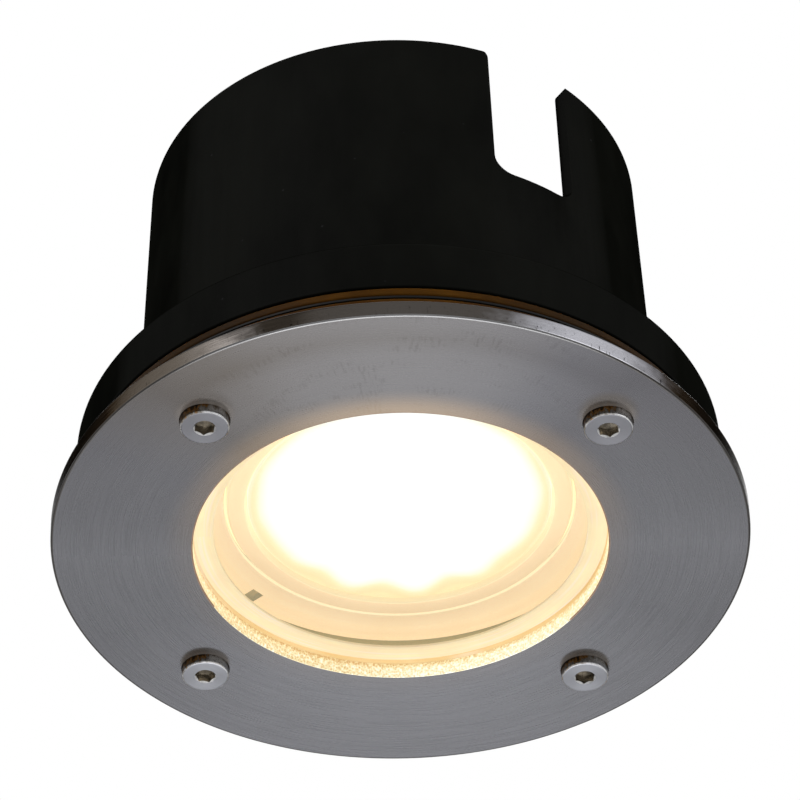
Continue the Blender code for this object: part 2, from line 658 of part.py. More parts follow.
def make_canister():
    """Black moulded pot: a hollow collar with bosses and ribs, and a tapered wall with two cable slots."""
    collar, base, rim = COLLAR_DIAMETER / 2, CANISTER_BASE / 2, CANISTER_RIM / 2
    underside = SHOULDER - COLLAR_WALL
    hollow = collar - COLLAR_WALL
    corners = [
        (rim - CANISTER_EDGE, CANISTER_HEIGHT), (rim, CANISTER_HEIGHT - CANISTER_EDGE),
        (base, SHOULDER, CANISTER_EDGE), (collar, SHOULDER, CANISTER_EDGE), (collar, COLLAR_FRONT),
        (hollow, COLLAR_FRONT), (hollow, underside), (base, underside), (base, COLLAR_FRONT),
        (base - CANISTER_WALL, COLLAR_FRONT), (rim - CANISTER_WALL, CANISTER_HEIGHT),
    ]
    canister = turned("mounting_canister", corners, TURN_LARGE)
    overlap = COLLAR_WALL / 2
    place = polar(SCREW_RADIUS, SCREW_AZIMUTH)
    boss = rod("bosses", BOSS_DIAMETER / 2, COLLAR_FRONT, underside + overlap, TURN_SMALL, CUTTERS, place)
    combine(canister, repeat_round(boss, SCREW_COUNT), "UNION")
    size = (hollow - base + 2 * overlap, RIB_THICKNESS, underside - COLLAR_FRONT - RIB_RECESS + overlap)
    middle = (COLLAR_FRONT + RIB_RECESS + underside + overlap) / 2
    azimuth = SCREW_AZIMUTH + math.pi / RIB_COUNT
    rib = block("ribs", size, polar((hollow + base) / 2, azimuth, middle), CUTTERS, azimuth)
    combine(canister, repeat_round(rib, RIB_COUNT), "UNION")
    hole = INSERT_DIAMETER / 2 + FIT_GAP
    top = SCREW_SEAT + SCREW_LENGTH + SCREW_TIP_ROOM
    bore = rod("insert_bores", hole, COLLAR_FRONT - OVERRUN, top, TURN_SMALL, CUTTERS, place)
    combine(canister, repeat_round(bore, SCREW_COUNT))
    combine(canister, cable_slots())
    return paint(canister, (0.018, 0.018, 0.02), 0.38)


def make_thread_inserts():
    """Four brass inserts that the bezel screws turn into."""
    start = COLLAR_FRONT + FIT_GAP
    outer = INSERT_DIAMETER / 2
    place = polar(SCREW_RADIUS, SCREW_AZIMUTH)
    insert = ring("thread_insert", SCREW_HOLE, outer, start, start + INSERT_LENGTH, TURN_SMALL, at=place)
    copies_round(paint(insert, (0.75, 0.55, 0.25), 0.3, 1.0), SCREW_COUNT)


def make_lamp_case():
    """White case of the disc lamp: a raised rim, a ledge for the diffuser, a flat back and a round boss."""
    boss = LAMP_BOSS_DIAMETER / 2
    seat = LAMP_RADIUS - LAMP_RIM
    boss_back = LAMP_BACK + LAMP_BOSS_HEIGHT
    corners = [
        (0, boss_back), (boss, boss_back, LAMP_EDGE), (boss, LAMP_BACK), (LAMP_RADIUS, LAMP_BACK, LAMP_EDGE),
        (LAMP_RADIUS, LAMP_FRONT, LAMP_EDGE), (seat, LAMP_FRONT, LAMP_EDGE / 2), (seat, LEDGE_FRONT),
        (LEDGE_RADIUS, LEDGE_FRONT), (LEDGE_RADIUS, LEDGE_BACK), (LAMP_CAVITY, LEDGE_BACK),
        (LAMP_CAVITY, LAMP_BACK - LAMP_WALL), (boss - LAMP_WALL, LAMP_BACK - LAMP_WALL),
        (boss - LAMP_WALL, boss_back - LAMP_WALL), (0, boss_back - LAMP_WALL),
    ]
    case = turned("lamp_case", corners, TURN_MEDIUM)
    place = polar(PIN_RADIUS, PIN_AZIMUTH)
    low, high = LAMP_BACK - LAMP_WALL - OVERRUN, LAMP_BACK + OVERRUN
    hole = rod("pin_holes", PIN_DIAMETER / 2 + FIT_GAP, low, high, TURN_SMALL, CUTTERS, place)
    combine(case, repeat_round(hole, 2))
    return paint(case, (0.85, 0.83, 0.78), 0.5)


def make_lamp_diffuser():
    """Opal disc that covers the lamp's LEDs."""
    corners = [
        (0, DIFFUSER_BACK), (DIFFUSER_RADIUS, DIFFUSER_BACK),
        (DIFFUSER_RADIUS, DIFFUSER_FRONT, LAMP_EDGE / 2), (0, DIFFUSER_FRONT),
    ]
    return paint(turned("lamp_diffuser", corners, TURN_MEDIUM), (1.0, 0.93, 0.8), 0.4)


def make_led_board():
    """Round board with a ring of square LED chips on its front."""
    radius = LAMP_INNARDS - LED_BOARD_INSET
    board = rod("led_board", radius, LED_BOARD_FRONT, LED_BOARD_BACK, TURN_MEDIUM)
    root = (LED_BOARD_FRONT + LED_BOARD_BACK) / 2
    centre = (LED_RING_RADIUS, 0, (LED_FRONT + root) / 2)
    chip = block("led_chips", (LED_SIZE, LED_SIZE, root - LED_FRONT), centre, CUTTERS)
    combine(board, repeat_round(chip, LED_RING_COUNT), "UNION")
    return paint(board, (0.9, 0.9, 0.88), 0.4)


def make_heat_sink():
    """Aluminium dish behind the LED board."""
    inner = LAMP_INNARDS - SINK_THICKNESS
    back = SINK_FRONT + SINK_THICKNESS
    corners = [
        (0, back), (inner, back), (inner, back + SINK_SKIRT),
        (LAMP_INNARDS, back + SINK_SKIRT), (LAMP_INNARDS, SINK_FRONT), (0, SINK_FRONT),
    ]
    return paint(turned("lamp_heat_sink", corners, TURN_MEDIUM), (0.75, 0.76, 0.78), 0.35, 1.0)


def make_driver_board():
    """The lamp's round driver board."""
    board = rod("driver_board", LAMP_INNARDS, DRIVER_BOARD_BOTTOM, DRIVER_BOARD_TOP, TURN_MEDIUM)
    return paint(board, (0.05, 0.28, 0.12), 0.5)


def make_driver_parts():
    """A capacitor and a coil, which stand on the driver board in the case's boss."""
    seat = DRIVER_BOARD_TOP + FIT_GAP
    top = seat + CAPACITOR_HEIGHT
    radius = BOSS_ROOM * capacitor_radius_share
    capacitor = rod("capacitor", radius, seat, top, TURN_SMALL, at=(BOSS_ROOM * capacitor_place_share, 0))
    paint(capacitor, (0.08, 0.08, 0.1), 0.4)
    size = (BOSS_ROOM * coil_length_share, BOSS_ROOM * coil_width_share, COIL_HEIGHT)
    coil = block("coil", size, (-BOSS_ROOM * coil_place_share, 0, seat + COIL_HEIGHT / 2))
    return paint(coil, (0.5, 0.2, 0.05), 0.4)


def make_lamp_pins():
    """Two headed pins that hold the lamp in its holder and bring it current."""
    shank, head = PIN_DIAMETER / 2, PIN_HEAD_DIAMETER / 2
    tail = LAMP_BACK - LAMP_WALL - PIN_TAIL
    corners = [
        (0, PIN_HEAD_BACK), (head, PIN_HEAD_BACK), (head, PIN_HEAD_FRONT),
        (shank, PIN_HEAD_FRONT), (shank, tail), (0, tail),
    ]
    pin = turned("lamp_pin", corners, TURN_SMALL, at=polar(PIN_RADIUS, PIN_AZIMUTH))
    copies_round(paint(pin, (0.8, 0.78, 0.7), 0.25, 1.0), 2)


def arc_slot(radius, half_width, start, end):
    """The outline of a curved slot with round ends, about the Z axis."""
    points = []
    steps = 2 * BEND_STEPS
    for side, first, last in ((1, start, end), (-1, end, start)):
        for step in range(steps + 1):
            points.append(polar(radius + side * half_width, first + (last - first) * step / steps).xy)
        tip = polar(radius, last).xy
        outward = last if side > 0 else last + math.pi
        for step in range(1, steps):
            points.append(tip + polar(half_width, outward + math.pi * step / steps).xy)
    return points


def make_lamp_holder():
    """White bayonet holder. Each pin's head goes in at a round hole, and a curved track lets it turn."""
    inner, outer = HOLDER_OPENING / 2, HOLDER_DIAMETER / 2
    corners = [
        (outer, HOLDER_BACK, HOLDER_EDGE), (outer, HOLDER_FRONT, HOLDER_EDGE),
        (inner, HOLDER_FRONT, HOLDER_EDGE), (inner, HOLDER_BACK),
    ]
    holder = turned("lamp_holder", corners, TURN_MEDIUM)
    start = PIN_AZIMUTH - TWIST
    wide, narrow = PIN_HEAD_DIAMETER / 2 + PIN_CLEARANCE, PIN_DIAMETER / 2 + PIN_CLEARANCE
    front, back = HOLDER_FRONT - OVERRUN, HOLDER_BACK + OVERRUN
    inside = TRACK_FRONT + OVERRUN
    entry = rod("pin_entries", wide, front, inside, TURN_SMALL, CUTTERS, polar(PIN_RADIUS, start))
    combine(holder, repeat_round(entry, 2))
    for name, half_width, low, high in (
        ("pin_slots", narrow, front, inside),
        ("pin_tracks", wide, TRACK_FRONT, TRACK_BACK),
    ):
        outline = arc_slot(PIN_RADIUS, half_width, start, PIN_AZIMUTH)
        slot = outline_solid(name, outline, high - low, (0, 0, (low + high) / 2), CUTTERS)
        combine(holder, repeat_round(slot, 2))
    place = polar(PIN_RADIUS, PIN_AZIMUTH)
    pocket = rod("lead_pockets", LEAD_POCKET / 2, TRACK_BACK - OVERRUN, back, TURN_SMALL, CUTTERS, place)
    combine(holder, repeat_round(pocket, 2))
    sink = HOLDER_FRONT + SMALL_HEAD_SINK
    head_hole = SMALL_HEAD_DIAMETER / 2 + FIT_GAP
    stepped = [
        (0, back), (SMALL_HOLE, back), (SMALL_HOLE, sink), (head_hole, sink), (head_hole, front), (0, front),
    ]
    place = polar(HOLDER_SCREW_CIRCLE / 2, HOLDER_SCREW_AZIMUTH)
    combine(holder, repeat_round(turned("holder_screw_holes", stepped, TURN_SMALL, CUTTERS, place), 2))
    return paint(holder, (0.82, 0.8, 0.74), 0.45)


def make_holder_contacts():
    """Bronze contacts over the pins' heads, each with a stub up into its lead's pocket."""
    middle = PIN_HEAD_BACK + FIT_GAP + CONTACT_THICKNESS / 2
    place = polar(PIN_RADIUS, PIN_AZIMUTH, middle)
    contact = block("holder_contact", (CONTACT_WIDTH, CONTACT_WIDTH, CONTACT_THICKNESS), place)
    stub = rod("contact_stub", LEAD_DIAMETER / 2, middle, CONTACT_BACK, TURN_SMALL, CUTTERS, place)
    combine(contact, stub, "UNION")
    copies_round(paint(contact, (0.72, 0.45, 0.22), 0.3, 1.0), 2)


def small_screw(name, seat, length, place, head_up=False):
    """A pan-head screw with a straight slot, whose head bears on the plane named seat."""
    shank, wide = SMALL_SCREW_DIAMETER / 2, SMALL_HEAD_DIAMETER / 2
    face = -SMALL_HEAD_HEIGHT
    corners = [(0, length), (shank, length), (shank, 0), (wide, 0), (wide, face, SMALL_HEAD_EDGE), (0, face)]
    screw = turned(name, corners, TURN_SMALL, at=(place.x, place.y, seat))
    if head_up:
        screw.rotation_euler.x = math.pi
    face_height = seat - face if head_up else seat + face
    size = (SMALL_HEAD_DIAMETER + OVERRUN, DRIVE_SLOT, 2 * DRIVE_DEPTH)
    combine(screw, block(name + "_slot", size, (place.x, place.y, face_height), CUTTERS))
    return paint(screw, (0.7, 0.7, 0.72), 0.3, 1.0)


def make_surround():
    """White ring round the lamp, with a small window and a notch, on a skirt that stands on the plate."""
    outer = SURROUND_DIAMETER / 2
    inner = LAMP_RADIUS + SURROUND_GAP
    foot = PLATE_FRONT - FIT_GAP
    wall = outer - SURROUND_WALL
    face_back = LAMP_FRONT + SURROUND_FACE
    corners = [
        (outer, foot), (outer, LAMP_FRONT, SURROUND_FACE / 2), (inner, LAMP_FRONT, SURROUND_FACE / 2),
        (inner, face_back), (wall, face_back), (wall, foot),
    ]
    surround = turned("lamp_surround", corners, TURN_LARGE)
    for name, azimuth, width, height in (
        ("window", WINDOW_AZIMUTH, WINDOW_WIDTH, WINDOW_HEIGHT),
        ("notch", NOTCH_AZIMUTH, NOTCH_WIDTH, NOTCH_HEIGHT),
    ):
        centre = polar(outer - WINDOW_INSET - height / 2, azimuth, LAMP_FRONT)
        size = (height, width, 2 * (SURROUND_FACE + OVERRUN))
        combine(surround, block(name, size, centre, CUTTERS, azimuth))
    return paint(surround, (0.86, 0.82, 0.74), 0.5)


def make_mounting_plate():
    """Plated steel disc that carries the holder, the surround and the terminal block."""
    plate = ring("mounting_plate", PLATE_OPENING / 2, PLATE_DIAMETER / 2, PLATE_FRONT, PLATE_BACK, TURN_LARGE)
    low, high = PLATE_FRONT - OVERRUN, PLATE_BACK + OVERRUN
    holes = (
        ("wire_holes", WIRE_HOLE / 2, polar(PIN_RADIUS, PIN_AZIMUTH), 2),
        ("holder_holes", SMALL_HOLE, polar(HOLDER_SCREW_CIRCLE / 2, HOLDER_SCREW_AZIMUTH), 2),
        ("pillar_holes", SMALL_HOLE, polar(PILLAR_CIRCLE / 2, PILLAR_AZIMUTH), PILLAR_COUNT),
        ("earth_hole", SMALL_HOLE, (EARTH_X, EARTH_Y), 1),
        ("block_hole", SMALL_HOLE, (BLOCK_SCREW_X, BLOCK_Y), 1),
    )
    for name, radius, place, count in holes:
        hole = rod(name, radius, low, high, TURN_SMALL, CUTTERS, place)
        combine(plate, repeat_round(hole, count) if count > 1 else hole)
    return paint(plate, (0.68, 0.68, 0.66), 0.35, 1.0)


def make_pillars():
    """Three hexagon pillars between the plate and the housing's back."""
    place = polar(PILLAR_CIRCLE / 2, PILLAR_AZIMUTH)
    pillar = hexagon("plate_pillar", PILLAR_FLATS, PILLAR_FRONT, PILLAR_BACK, at=place)
    depth = PILLAR_FRONT + PILLAR_SCREW_LENGTH + FIT_GAP
    combine(pillar, rod("pillar_bore", SMALL_HOLE, PILLAR_FRONT - OVERRUN, depth, TURN_SMALL, CUTTERS, place))
    copies_round(paint(pillar, (0.7, 0.62, 0.4), 0.35, 1.0), PILLAR_COUNT)


def make_terminal_block():
    """Moulding with a bore and a screw well for each pole, and a well for the screw that holds it down."""
    body = soften(block("terminal_block", BLOCK_SIZE, (0, BLOCK_Y, BLOCK_MIDDLE)), BLOCK_EDGE)
    reach = BLOCK_SIZE[1] / 2 + OVERRUN
    bore = rod("pole_bores", CLAMP_DIAMETER / 2 + FIT_GAP, -reach, reach, TURN_SMALL, CUTTERS)
    bore.location = (FIRST_POLE_X, BLOCK_Y, BLOCK_MIDDLE)
    bore.rotation_euler.x = math.pi / 2
    combine(body, repeat_row(bore))
    above = BLOCK_BACK + OVERRUN
    first = (FIRST_POLE_X, BLOCK_Y)
    wide = CLAMP_SCREW_DIAMETER / 2 + FIT_GAP
    well = rod("pole_wells", wide, BLOCK_MIDDLE, above, TURN_SMALL, CUTTERS, first)
    combine(body, repeat_row(well))
    head_hole = SMALL_HEAD_DIAMETER / 2 + FIT_GAP
    low, seat = BLOCK_FRONT - OVERRUN, BLOCK_FRONT + BLOCK_FLOOR
    stepped = [
        (0, above), (head_hole, above), (head_hole, seat), (SMALL_HOLE, seat), (SMALL_HOLE, low), (0, low),
    ]
    combine(body, turned("block_screw_hole", stepped, TURN_SMALL, CUTTERS, (BLOCK_SCREW_X, BLOCK_Y, 0)))
    return paint(body, (0.8, 0.78, 0.7), 0.5)


def make_terminal_clamps():
    """Brass tubes that grip the leads, one for each pole."""
    outer = CLAMP_DIAMETER / 2
    half = CLAMP_LENGTH / 2
    clamp = ring("terminal_clamp", outer - CLAMP_WALL, outer, -half, half, TURN_SMALL)
    clamp.location = (FIRST_POLE_X, BLOCK_Y, BLOCK_MIDDLE)
    clamp.rotation_euler.x = math.pi / 2
    copies_row(paint(clamp, (0.78, 0.6, 0.3), 0.3, 1.0))


def make_terminal_screws():
    """Short screws over the clamps, down in the block's wells."""
    low = BLOCK_MIDDLE + CLAMP_DIAMETER / 2 + FIT_GAP
    high = low + CLAMP_SCREW_LENGTH
    place = (FIRST_POLE_X, BLOCK_Y)
    screw = rod("terminal_screw", CLAMP_SCREW_DIAMETER / 2, low, high, TURN_SMALL, at=place)
    copies_row(paint(screw, (0.7, 0.7, 0.72), 0.3, 1.0))


def make_earth_tag():
    """Tinned ring tag on the plate, with a barrel for the earth lead."""
    low = PLATE_BACK + FIT_GAP
    outer = EARTH_TAG_DIAMETER / 2
    at = (EARTH_X, EARTH_Y, 0)
    tag = ring("earth_tag", SMALL_HOLE, outer, low, low + EARTH_TAG_THICKNESS, TURN_SMALL, at=at)
    joint = EARTH_Y - outer + EARTH_TAG_THICKNESS
    half = EARTH_BARREL_LENGTH / 2
    barrel = rod("tag_barrel", EARTH_BARREL_DIAMETER / 2, -half, half, TURN_SMALL, CUTTERS)
    barrel.location = (EARTH_X, joint - half, EARTH_BARREL_MIDDLE)
    barrel.rotation_euler.x = math.pi / 2
    combine(tag, barrel, "UNION")
    bore = rod("barrel_bore", LEAD_DIAMETER / 2 + FIT_GAP, -half, half, TURN_SMALL, CUTTERS)
    bore.location = (EARTH_X, joint - half - OVERRUN, EARTH_BARREL_MIDDLE)
    bore.rotation_euler.x = math.pi / 2
    combine(tag, bore)
    return paint(tag, (0.75, 0.74, 0.72), 0.3, 1.0)


def make_lead(name, start, leave, arrive, end, colour):
    """A round lead: straight from start to leave and from arrive to end, with one easy curve between."""
    bend = leave + (leave - start).normalized() * LEAD_EASE
    last_bend = arrive + (arrive - end).normalized() * LEAD_EASE
    points = [start]
    for step in range(LEAD_STEPS + 1):
        t = step / LEAD_STEPS
        s = 1 - t
        points.append(s ** 3 * leave + 3 * s * s * t * bend + 3 * s * t * t * last_bend + t ** 3 * arrive)
    points.append(end)
    curve = bpy.data.curves.new(name, "CURVE")
    curve.dimensions = "3D"
    curve.bevel_depth = LEAD_DIAMETER / 2
    curve.bevel_resolution = 2
    curve.use_fill_caps = True
    spline = curve.splines.new("POLY")
    spline.points.add(len(points) - 1)
    for point, place in zip(spline.points, points):
        point.co = (*place, 1)
    return paint(add_object(name, curve), colour, 0.4)


def make_leads():
    """Live and neutral from the holder to the terminal block, and earth from the block to its tag."""
    first = Vector((FIRST_POLE_X, BLOCK_FACE, BLOCK_MIDDLE))
    poles = [first + Vector((POLE_PITCH * step, 0, 0)) for step in range(POLE_COUNT)]
    inward = Vector((0, -LEAD_GRIP, 0))
    clear = Vector((0, LEAD_RISE, 0))
    for name, side, pole, colour in (
        ("live_lead", math.pi, poles[0], (0.35, 0.14, 0.05)),
        ("neutral_lead", 0, poles[2], (0.05, 0.16, 0.5)),
    ):
        start = polar(PIN_RADIUS, PIN_AZIMUTH + side, CONTACT_BACK + FIT_GAP)
        leave = polar(PIN_RADIUS, PIN_AZIMUTH + side, PLATE_BACK + LEAD_RISE)
        make_lead(name, start, leave, pole + clear, pole + inward, colour)
    mouth = EARTH_Y - EARTH_TAG_DIAMETER / 2 + EARTH_TAG_THICKNESS - EARTH_BARREL_LENGTH
    tag = Vector((EARTH_X, mouth, EARTH_BARREL_MIDDLE))
    inside = tag + Vector((0, EARTH_BARREL_LENGTH / 2, 0))
    make_lead("earth_lead", poles[1] + inward, poles[1] + clear, tag - clear, inside, (0.25, 0.5, 0.06))


def make_gland_body():
    """Brass body of the cable gland: a thread, a hexagon and a neck, with a bore that widens for the seal."""
    thread, neck = GLAND_THREAD / 2, GLAND_NECK / 2
    tail = HOUSING_BACK - GLAND_TAIL
    core = [
        (0, GLAND_NECK_BACK), (neck, GLAND_NECK_BACK), (neck, GLAND_HEX_BACK - OVERRUN),
        (thread, GLAND_HEX_BACK - OVERRUN), (thread, tail), (0, tail),
    ]
    body = turned("gland_body", core, TURN_MEDIUM)
    combine(body, hexagon("gland_hex", GLAND_FLATS, GLAND_HEX_FRONT, GLAND_HEX_BACK, CUTTERS), "UNION")
    bore, seat = GLAND_BORE / 2, GLAND_SEAT_BORE / 2
    high, low = GLAND_NECK_BACK + OVERRUN, tail - OVERRUN
    hollow = [(0, high), (seat, high), (seat, GLAND_SEAT), (bore, GLAND_SEAT), (bore, low), (0, low)]
    combine(body, turned("gland_bore", hollow, TURN_MEDIUM, CUTTERS))
    return paint(body, (0.62, 0.6, 0.55), 0.3, 1.0)


def make_gland_washer():
    """Rubber washer between the gland and the housing's back."""
    back = GLAND_WASHER_FRONT + GLAND_WASHER_THICKNESS
    hole = GLAND_THREAD / 2 + FIT_GAP
    washer = ring("gland_washer", hole, GLAND_WASHER_DIAMETER / 2, GLAND_WASHER_FRONT, back, TURN_MEDIUM)
    return paint(washer, (0.02, 0.02, 0.02), 0.6)


def make_gland_locknut():
    """Hexagon nut on the gland's thread, inside the housing."""
    back = HOUSING_BACK - SHEET - FIT_GAP
    front = back - LOCKNUT_HEIGHT
    locknut = hexagon("gland_locknut", GLAND_FLATS, front, back)
    radius = GLAND_THREAD / 2 + FIT_GAP
    hole = rod("locknut_hole", radius, front - OVERRUN, back + OVERRUN, TURN_MEDIUM, CUTTERS)
    combine(locknut, hole)
    return paint(locknut, (0.62, 0.6, 0.55), 0.3, 1.0)


def make_gland_insert():
    """Rubber ring that the gland's nut squeezes on the cable."""
    low = GLAND_SEAT + FIT_GAP
    outer = GLAND_SEAT_BORE / 2 - FIT_GAP
    insert = ring("gland_insert", CABLE_BORE / 2, outer, low, low + INSERT_RING_HEIGHT, TURN_MEDIUM)
    return paint(insert, (0.02, 0.02, 0.02), 0.7)


def make_gland_nut():
    """Domed nut that closes the gland."""
    nut = hexagon("gland_nut", NUT_FLATS, NUT_FRONT, NUT_SHOULDER)
    dome_radius = NUT_DOME_DIAMETER / 2
    low = NUT_SHOULDER - OVERRUN
    dome = [(0, NUT_BACK), (dome_radius, NUT_BACK, NUT_DOME_ROUND), (dome_radius, low), (0, low)]
    combine(nut, turned("nut_dome", dome, TURN_MEDIUM, CUTTERS, corner_steps=BEND_STEPS), "UNION")
    mouth, inner = NUT_MOUTH / 2, GLAND_NECK / 2 + FIT_GAP
    above, below = NUT_BACK + OVERRUN, NUT_FRONT - OVERRUN
    hollow = [
        (0, above), (mouth, above), (mouth, NUT_BACK - NUT_WALL),
        (inner, NUT_SHOULDER), (inner, below), (0, below),
    ]
    combine(nut, turned("nut_hollow", hollow, TURN_MEDIUM, CUTTERS))
    return paint(nut, (0.62, 0.6, 0.55), 0.3, 1.0)


def make_small_screws():
    """The screws of the holder, the pillars, the terminal block and the earth tag."""
    seat = HOLDER_FRONT + SMALL_HEAD_SINK - FIT_GAP
    place = polar(HOLDER_SCREW_CIRCLE / 2, HOLDER_SCREW_AZIMUTH)
    copies_round(small_screw("holder_screw", seat, PLATE_BACK + SMALL_TAIL - seat, place), 2)
    seat = PLATE_FRONT - FIT_GAP
    length = PILLAR_FRONT + PILLAR_SCREW_LENGTH - seat
    place = polar(PILLAR_CIRCLE / 2, PILLAR_AZIMUTH)
    copies_round(small_screw("pillar_screw", seat, length, place), PILLAR_COUNT)
    seat = BLOCK_FRONT + BLOCK_FLOOR + FIT_GAP
    small_screw("block_screw", seat, seat - PLATE_FRONT, Vector((BLOCK_SCREW_X, BLOCK_Y)), head_up=True)
    seat = PLATE_BACK + EARTH_TAG_THICKNESS + 2 * FIT_GAP
    small_screw("earth_screw", seat, seat - PLATE_FRONT, Vector((EARTH_X, EARTH_Y)), head_up=True)


def finish_parts():
    """Bakes each piece that still carries modifiers."""
    for piece in PARTS.objects:
        if piece.modifiers:
            bake(piece)


make_bezel()
make_bezel_screws()
make_glass_gasket()
make_glass()
make_flange_gasket()
make_lamp_housing()
make_canister()
make_thread_inserts()
make_lamp_case()
make_lamp_diffuser()
make_led_board()
make_heat_sink()
make_driver_board()
make_driver_parts()
make_lamp_pins()
make_lamp_holder()
make_holder_contacts()
make_surround()
make_mounting_plate()
make_pillars()
make_terminal_block()
make_terminal_clamps()
make_terminal_screws()
make_earth_tag()
make_small_screws()
make_leads()
make_gland_body()
make_gland_washer()
make_gland_locknut()
make_gland_insert()
make_gland_nut()
finish_parts()
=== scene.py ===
import math
from functools import reduce

import bmesh
import bpy
from mathutils import Matrix, Vector


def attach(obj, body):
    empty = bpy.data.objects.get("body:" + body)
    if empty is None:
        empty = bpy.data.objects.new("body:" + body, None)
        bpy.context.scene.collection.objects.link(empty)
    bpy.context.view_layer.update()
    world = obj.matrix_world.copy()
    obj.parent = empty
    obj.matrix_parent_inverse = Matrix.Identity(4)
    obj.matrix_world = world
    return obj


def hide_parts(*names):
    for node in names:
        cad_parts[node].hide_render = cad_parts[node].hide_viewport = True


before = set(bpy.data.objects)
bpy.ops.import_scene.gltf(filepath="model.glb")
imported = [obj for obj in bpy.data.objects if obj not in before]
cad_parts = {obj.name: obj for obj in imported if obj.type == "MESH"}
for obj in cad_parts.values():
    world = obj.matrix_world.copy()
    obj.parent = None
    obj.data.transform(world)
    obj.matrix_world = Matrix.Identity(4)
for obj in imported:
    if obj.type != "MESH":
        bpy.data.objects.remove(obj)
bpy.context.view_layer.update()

# A recessed downlight seen from below: a brushed bezel held by four screws, a lit disc lamp behind glass,
# and a black canister. Lengths are written in millimetres and become metres where a mesh is made. Heights
# grow from the bezel into the ceiling, and the near side, towards -Y, is the camera's.
MM = 0.001
BEZEL_RADIUS = 75
BEZEL_FRONT = -4
OPENING = 44.6
SCREW_CIRCLE = 59.3
SCREW_AZIMUTH = math.radians(47.6)
SCREWS = (1, 2, 3, 4)
SCREW_HOLE = 3.3
HEAD_RADIUS = 5.15
HEAD_FRONT = -6.1
# Azimuth of the painted highlight on the screw heads' walls.
PAINTED_HIGHLIGHT_SIDE = math.radians(-48)
SOCKET_TURNS = (35, 12, 39, 21)
SLOT_AZIMUTH = math.radians(-56)
WINDOW_AZIMUTH = math.radians(138.2)
NOTCH_AZIMUTH = math.radians(1)
SHARP = math.radians(32)
BLACK = (0, 0, 0)


# Trees of nodes

def put(socket, value):
    """Links a socket to another, or sets its value. A colour may come as its three parts."""
    if isinstance(value, bpy.types.NodeSocket):
        socket.id_data.links.new(value, socket)
    elif socket.type == "RGBA":
        socket.default_value = (*value[:3], 1)
    else:
        socket.default_value = value


def add(tree, kind, values=None, **settings):
    """A node in a tree, with its settings and the values of its sockets."""
    node = tree.nodes.new(kind)
    for key, value in settings.items():
        setattr(node, key, value)
    for key, value in (values or {}).items():
        put(node.inputs[key], value)
    return node


def made(kind, values, **settings):
    """The first output of a node in the tree that its values come from."""
    tree = next(value.id_data for value in values.values() if isinstance(value, bpy.types.NodeSocket))
    return add(tree, kind, values, **settings).outputs[0]


def wire(shader, **sockets):
    """Links or sets sockets of the shader."""
    for key, value in sockets.items():
        put(shader.inputs[key.replace("_", " ")], value)


def finish(name, colour, roughness, gloss=0.5, **sockets):
    """A new material with its shader, and the values that are the same all over it."""
    material = bpy.data.materials.new(name)
    material.use_nodes = True
    material.diffuse_color = (*colour, 1)
    tree = material.node_tree
    shader = tree.nodes["Principled BSDF"]
    wire(shader, Base_Color=colour, Roughness=roughness, Specular_IOR_Level=gloss, **sockets)
    return material, tree, shader


def sums(operation, *terms):
    """One step of arithmetic."""
    return made("ShaderNodeMath", dict(enumerate(terms)), operation=operation)


def times(*terms):
    """The product of its terms."""
    return reduce(lambda product, term: sums("MULTIPLY", product, term), terms)


def plus(*terms):
    """The sum of its terms. A pair is a term and its weight."""
    weighed = [times(*term) if isinstance(term, tuple) else term for term in terms]
    return reduce(lambda total, term: sums("ADD", total, term), weighed)


def split(vector):
    """A vector's three parts."""
    return add(vector.id_data, "ShaderNodeSeparateXYZ", {0: vector}).outputs


def span(x, y):
    """How far from the axis a point at x, y is."""
    return sums("SQRT", plus((x, x), (y, y)))


def spot(tree):
    """The point on the piece, in its own axes."""
    return add(tree, "ShaderNodeTexCoord").outputs["Object"]


def around(tree):
    """The same point as distance from the axis, angle round it, and height."""
    x, y, z = split(spot(tree))
    return span(x, y), sums("ARCTAN2", y, x), z


def far_side(tree):
    """-1 on the near side and 1 on the far side."""
    return sums("SINE", around(tree)[1])


def towards(tree, azimuth):
    """1 on the side at an azimuth, in degrees, and -1 on the side opposite."""
    return sums("COSINE", plus(around(tree)[1], math.radians(-azimuth)))


def place(tree, stretch=(1, 1, 1)):
    """The point on the piece, stretched for a pattern."""
    return made("ShaderNodeMapping", {"Vector": spot(tree), "Scale": stretch})


def wound(tree, *stretch):
    """The same point round the axis, its distance, angle and height stretched for a pattern."""
    values = {key: times(part, scale) for key, part, scale in zip("XYZ", around(tree), stretch)}
    return made("ShaderNodeCombineXYZ", values)


def noise(vector, scale, detail, roughness):
    """Noise from 0 to 1."""
    values = {"Vector": vector, "Scale": scale, "Detail": detail, "Roughness": roughness}
    return made("ShaderNodeTexNoise", values)


def grain(tree, scale, detail=3, roughness=0.6, stretch=(1, 1, 1)):
    """Noise in the piece's own axes."""
    return noise(place(tree, stretch), scale, detail, roughness)


def rings(tree, stretch, detail=3, roughness=0.6):
    """Noise that runs round the axis, with its scale outwards, round and along it."""
    return noise(wound(tree, *stretch), 1, detail, roughness)


def ranged(value, low, high, start=0, stop=1, kind="LINEAR"):
    """A value carried from one range to another."""
    values = {"Value": value, "From Min": low, "From Max": high, "To Min": start, "To Max": stop}
    return made("ShaderNodeMapRange", values, interpolation_type=kind)


def spread(noise, start=0, stop=1):
    """Noise, most of it from 0.3 to 0.7, carried to another range."""
    return ranged(noise, 0.3, 0.7, start, stop)


def tone(factor, first, second):
    """A colour between two."""
    values = {0: factor, 6: first, 7: second}
    return made("ShaderNodeMix", values, data_type="RGBA").node.outputs[2]


def scaled(colour, share):
    """A darker or lighter colour."""
    return tuple(min(1, part * share) for part in colour)


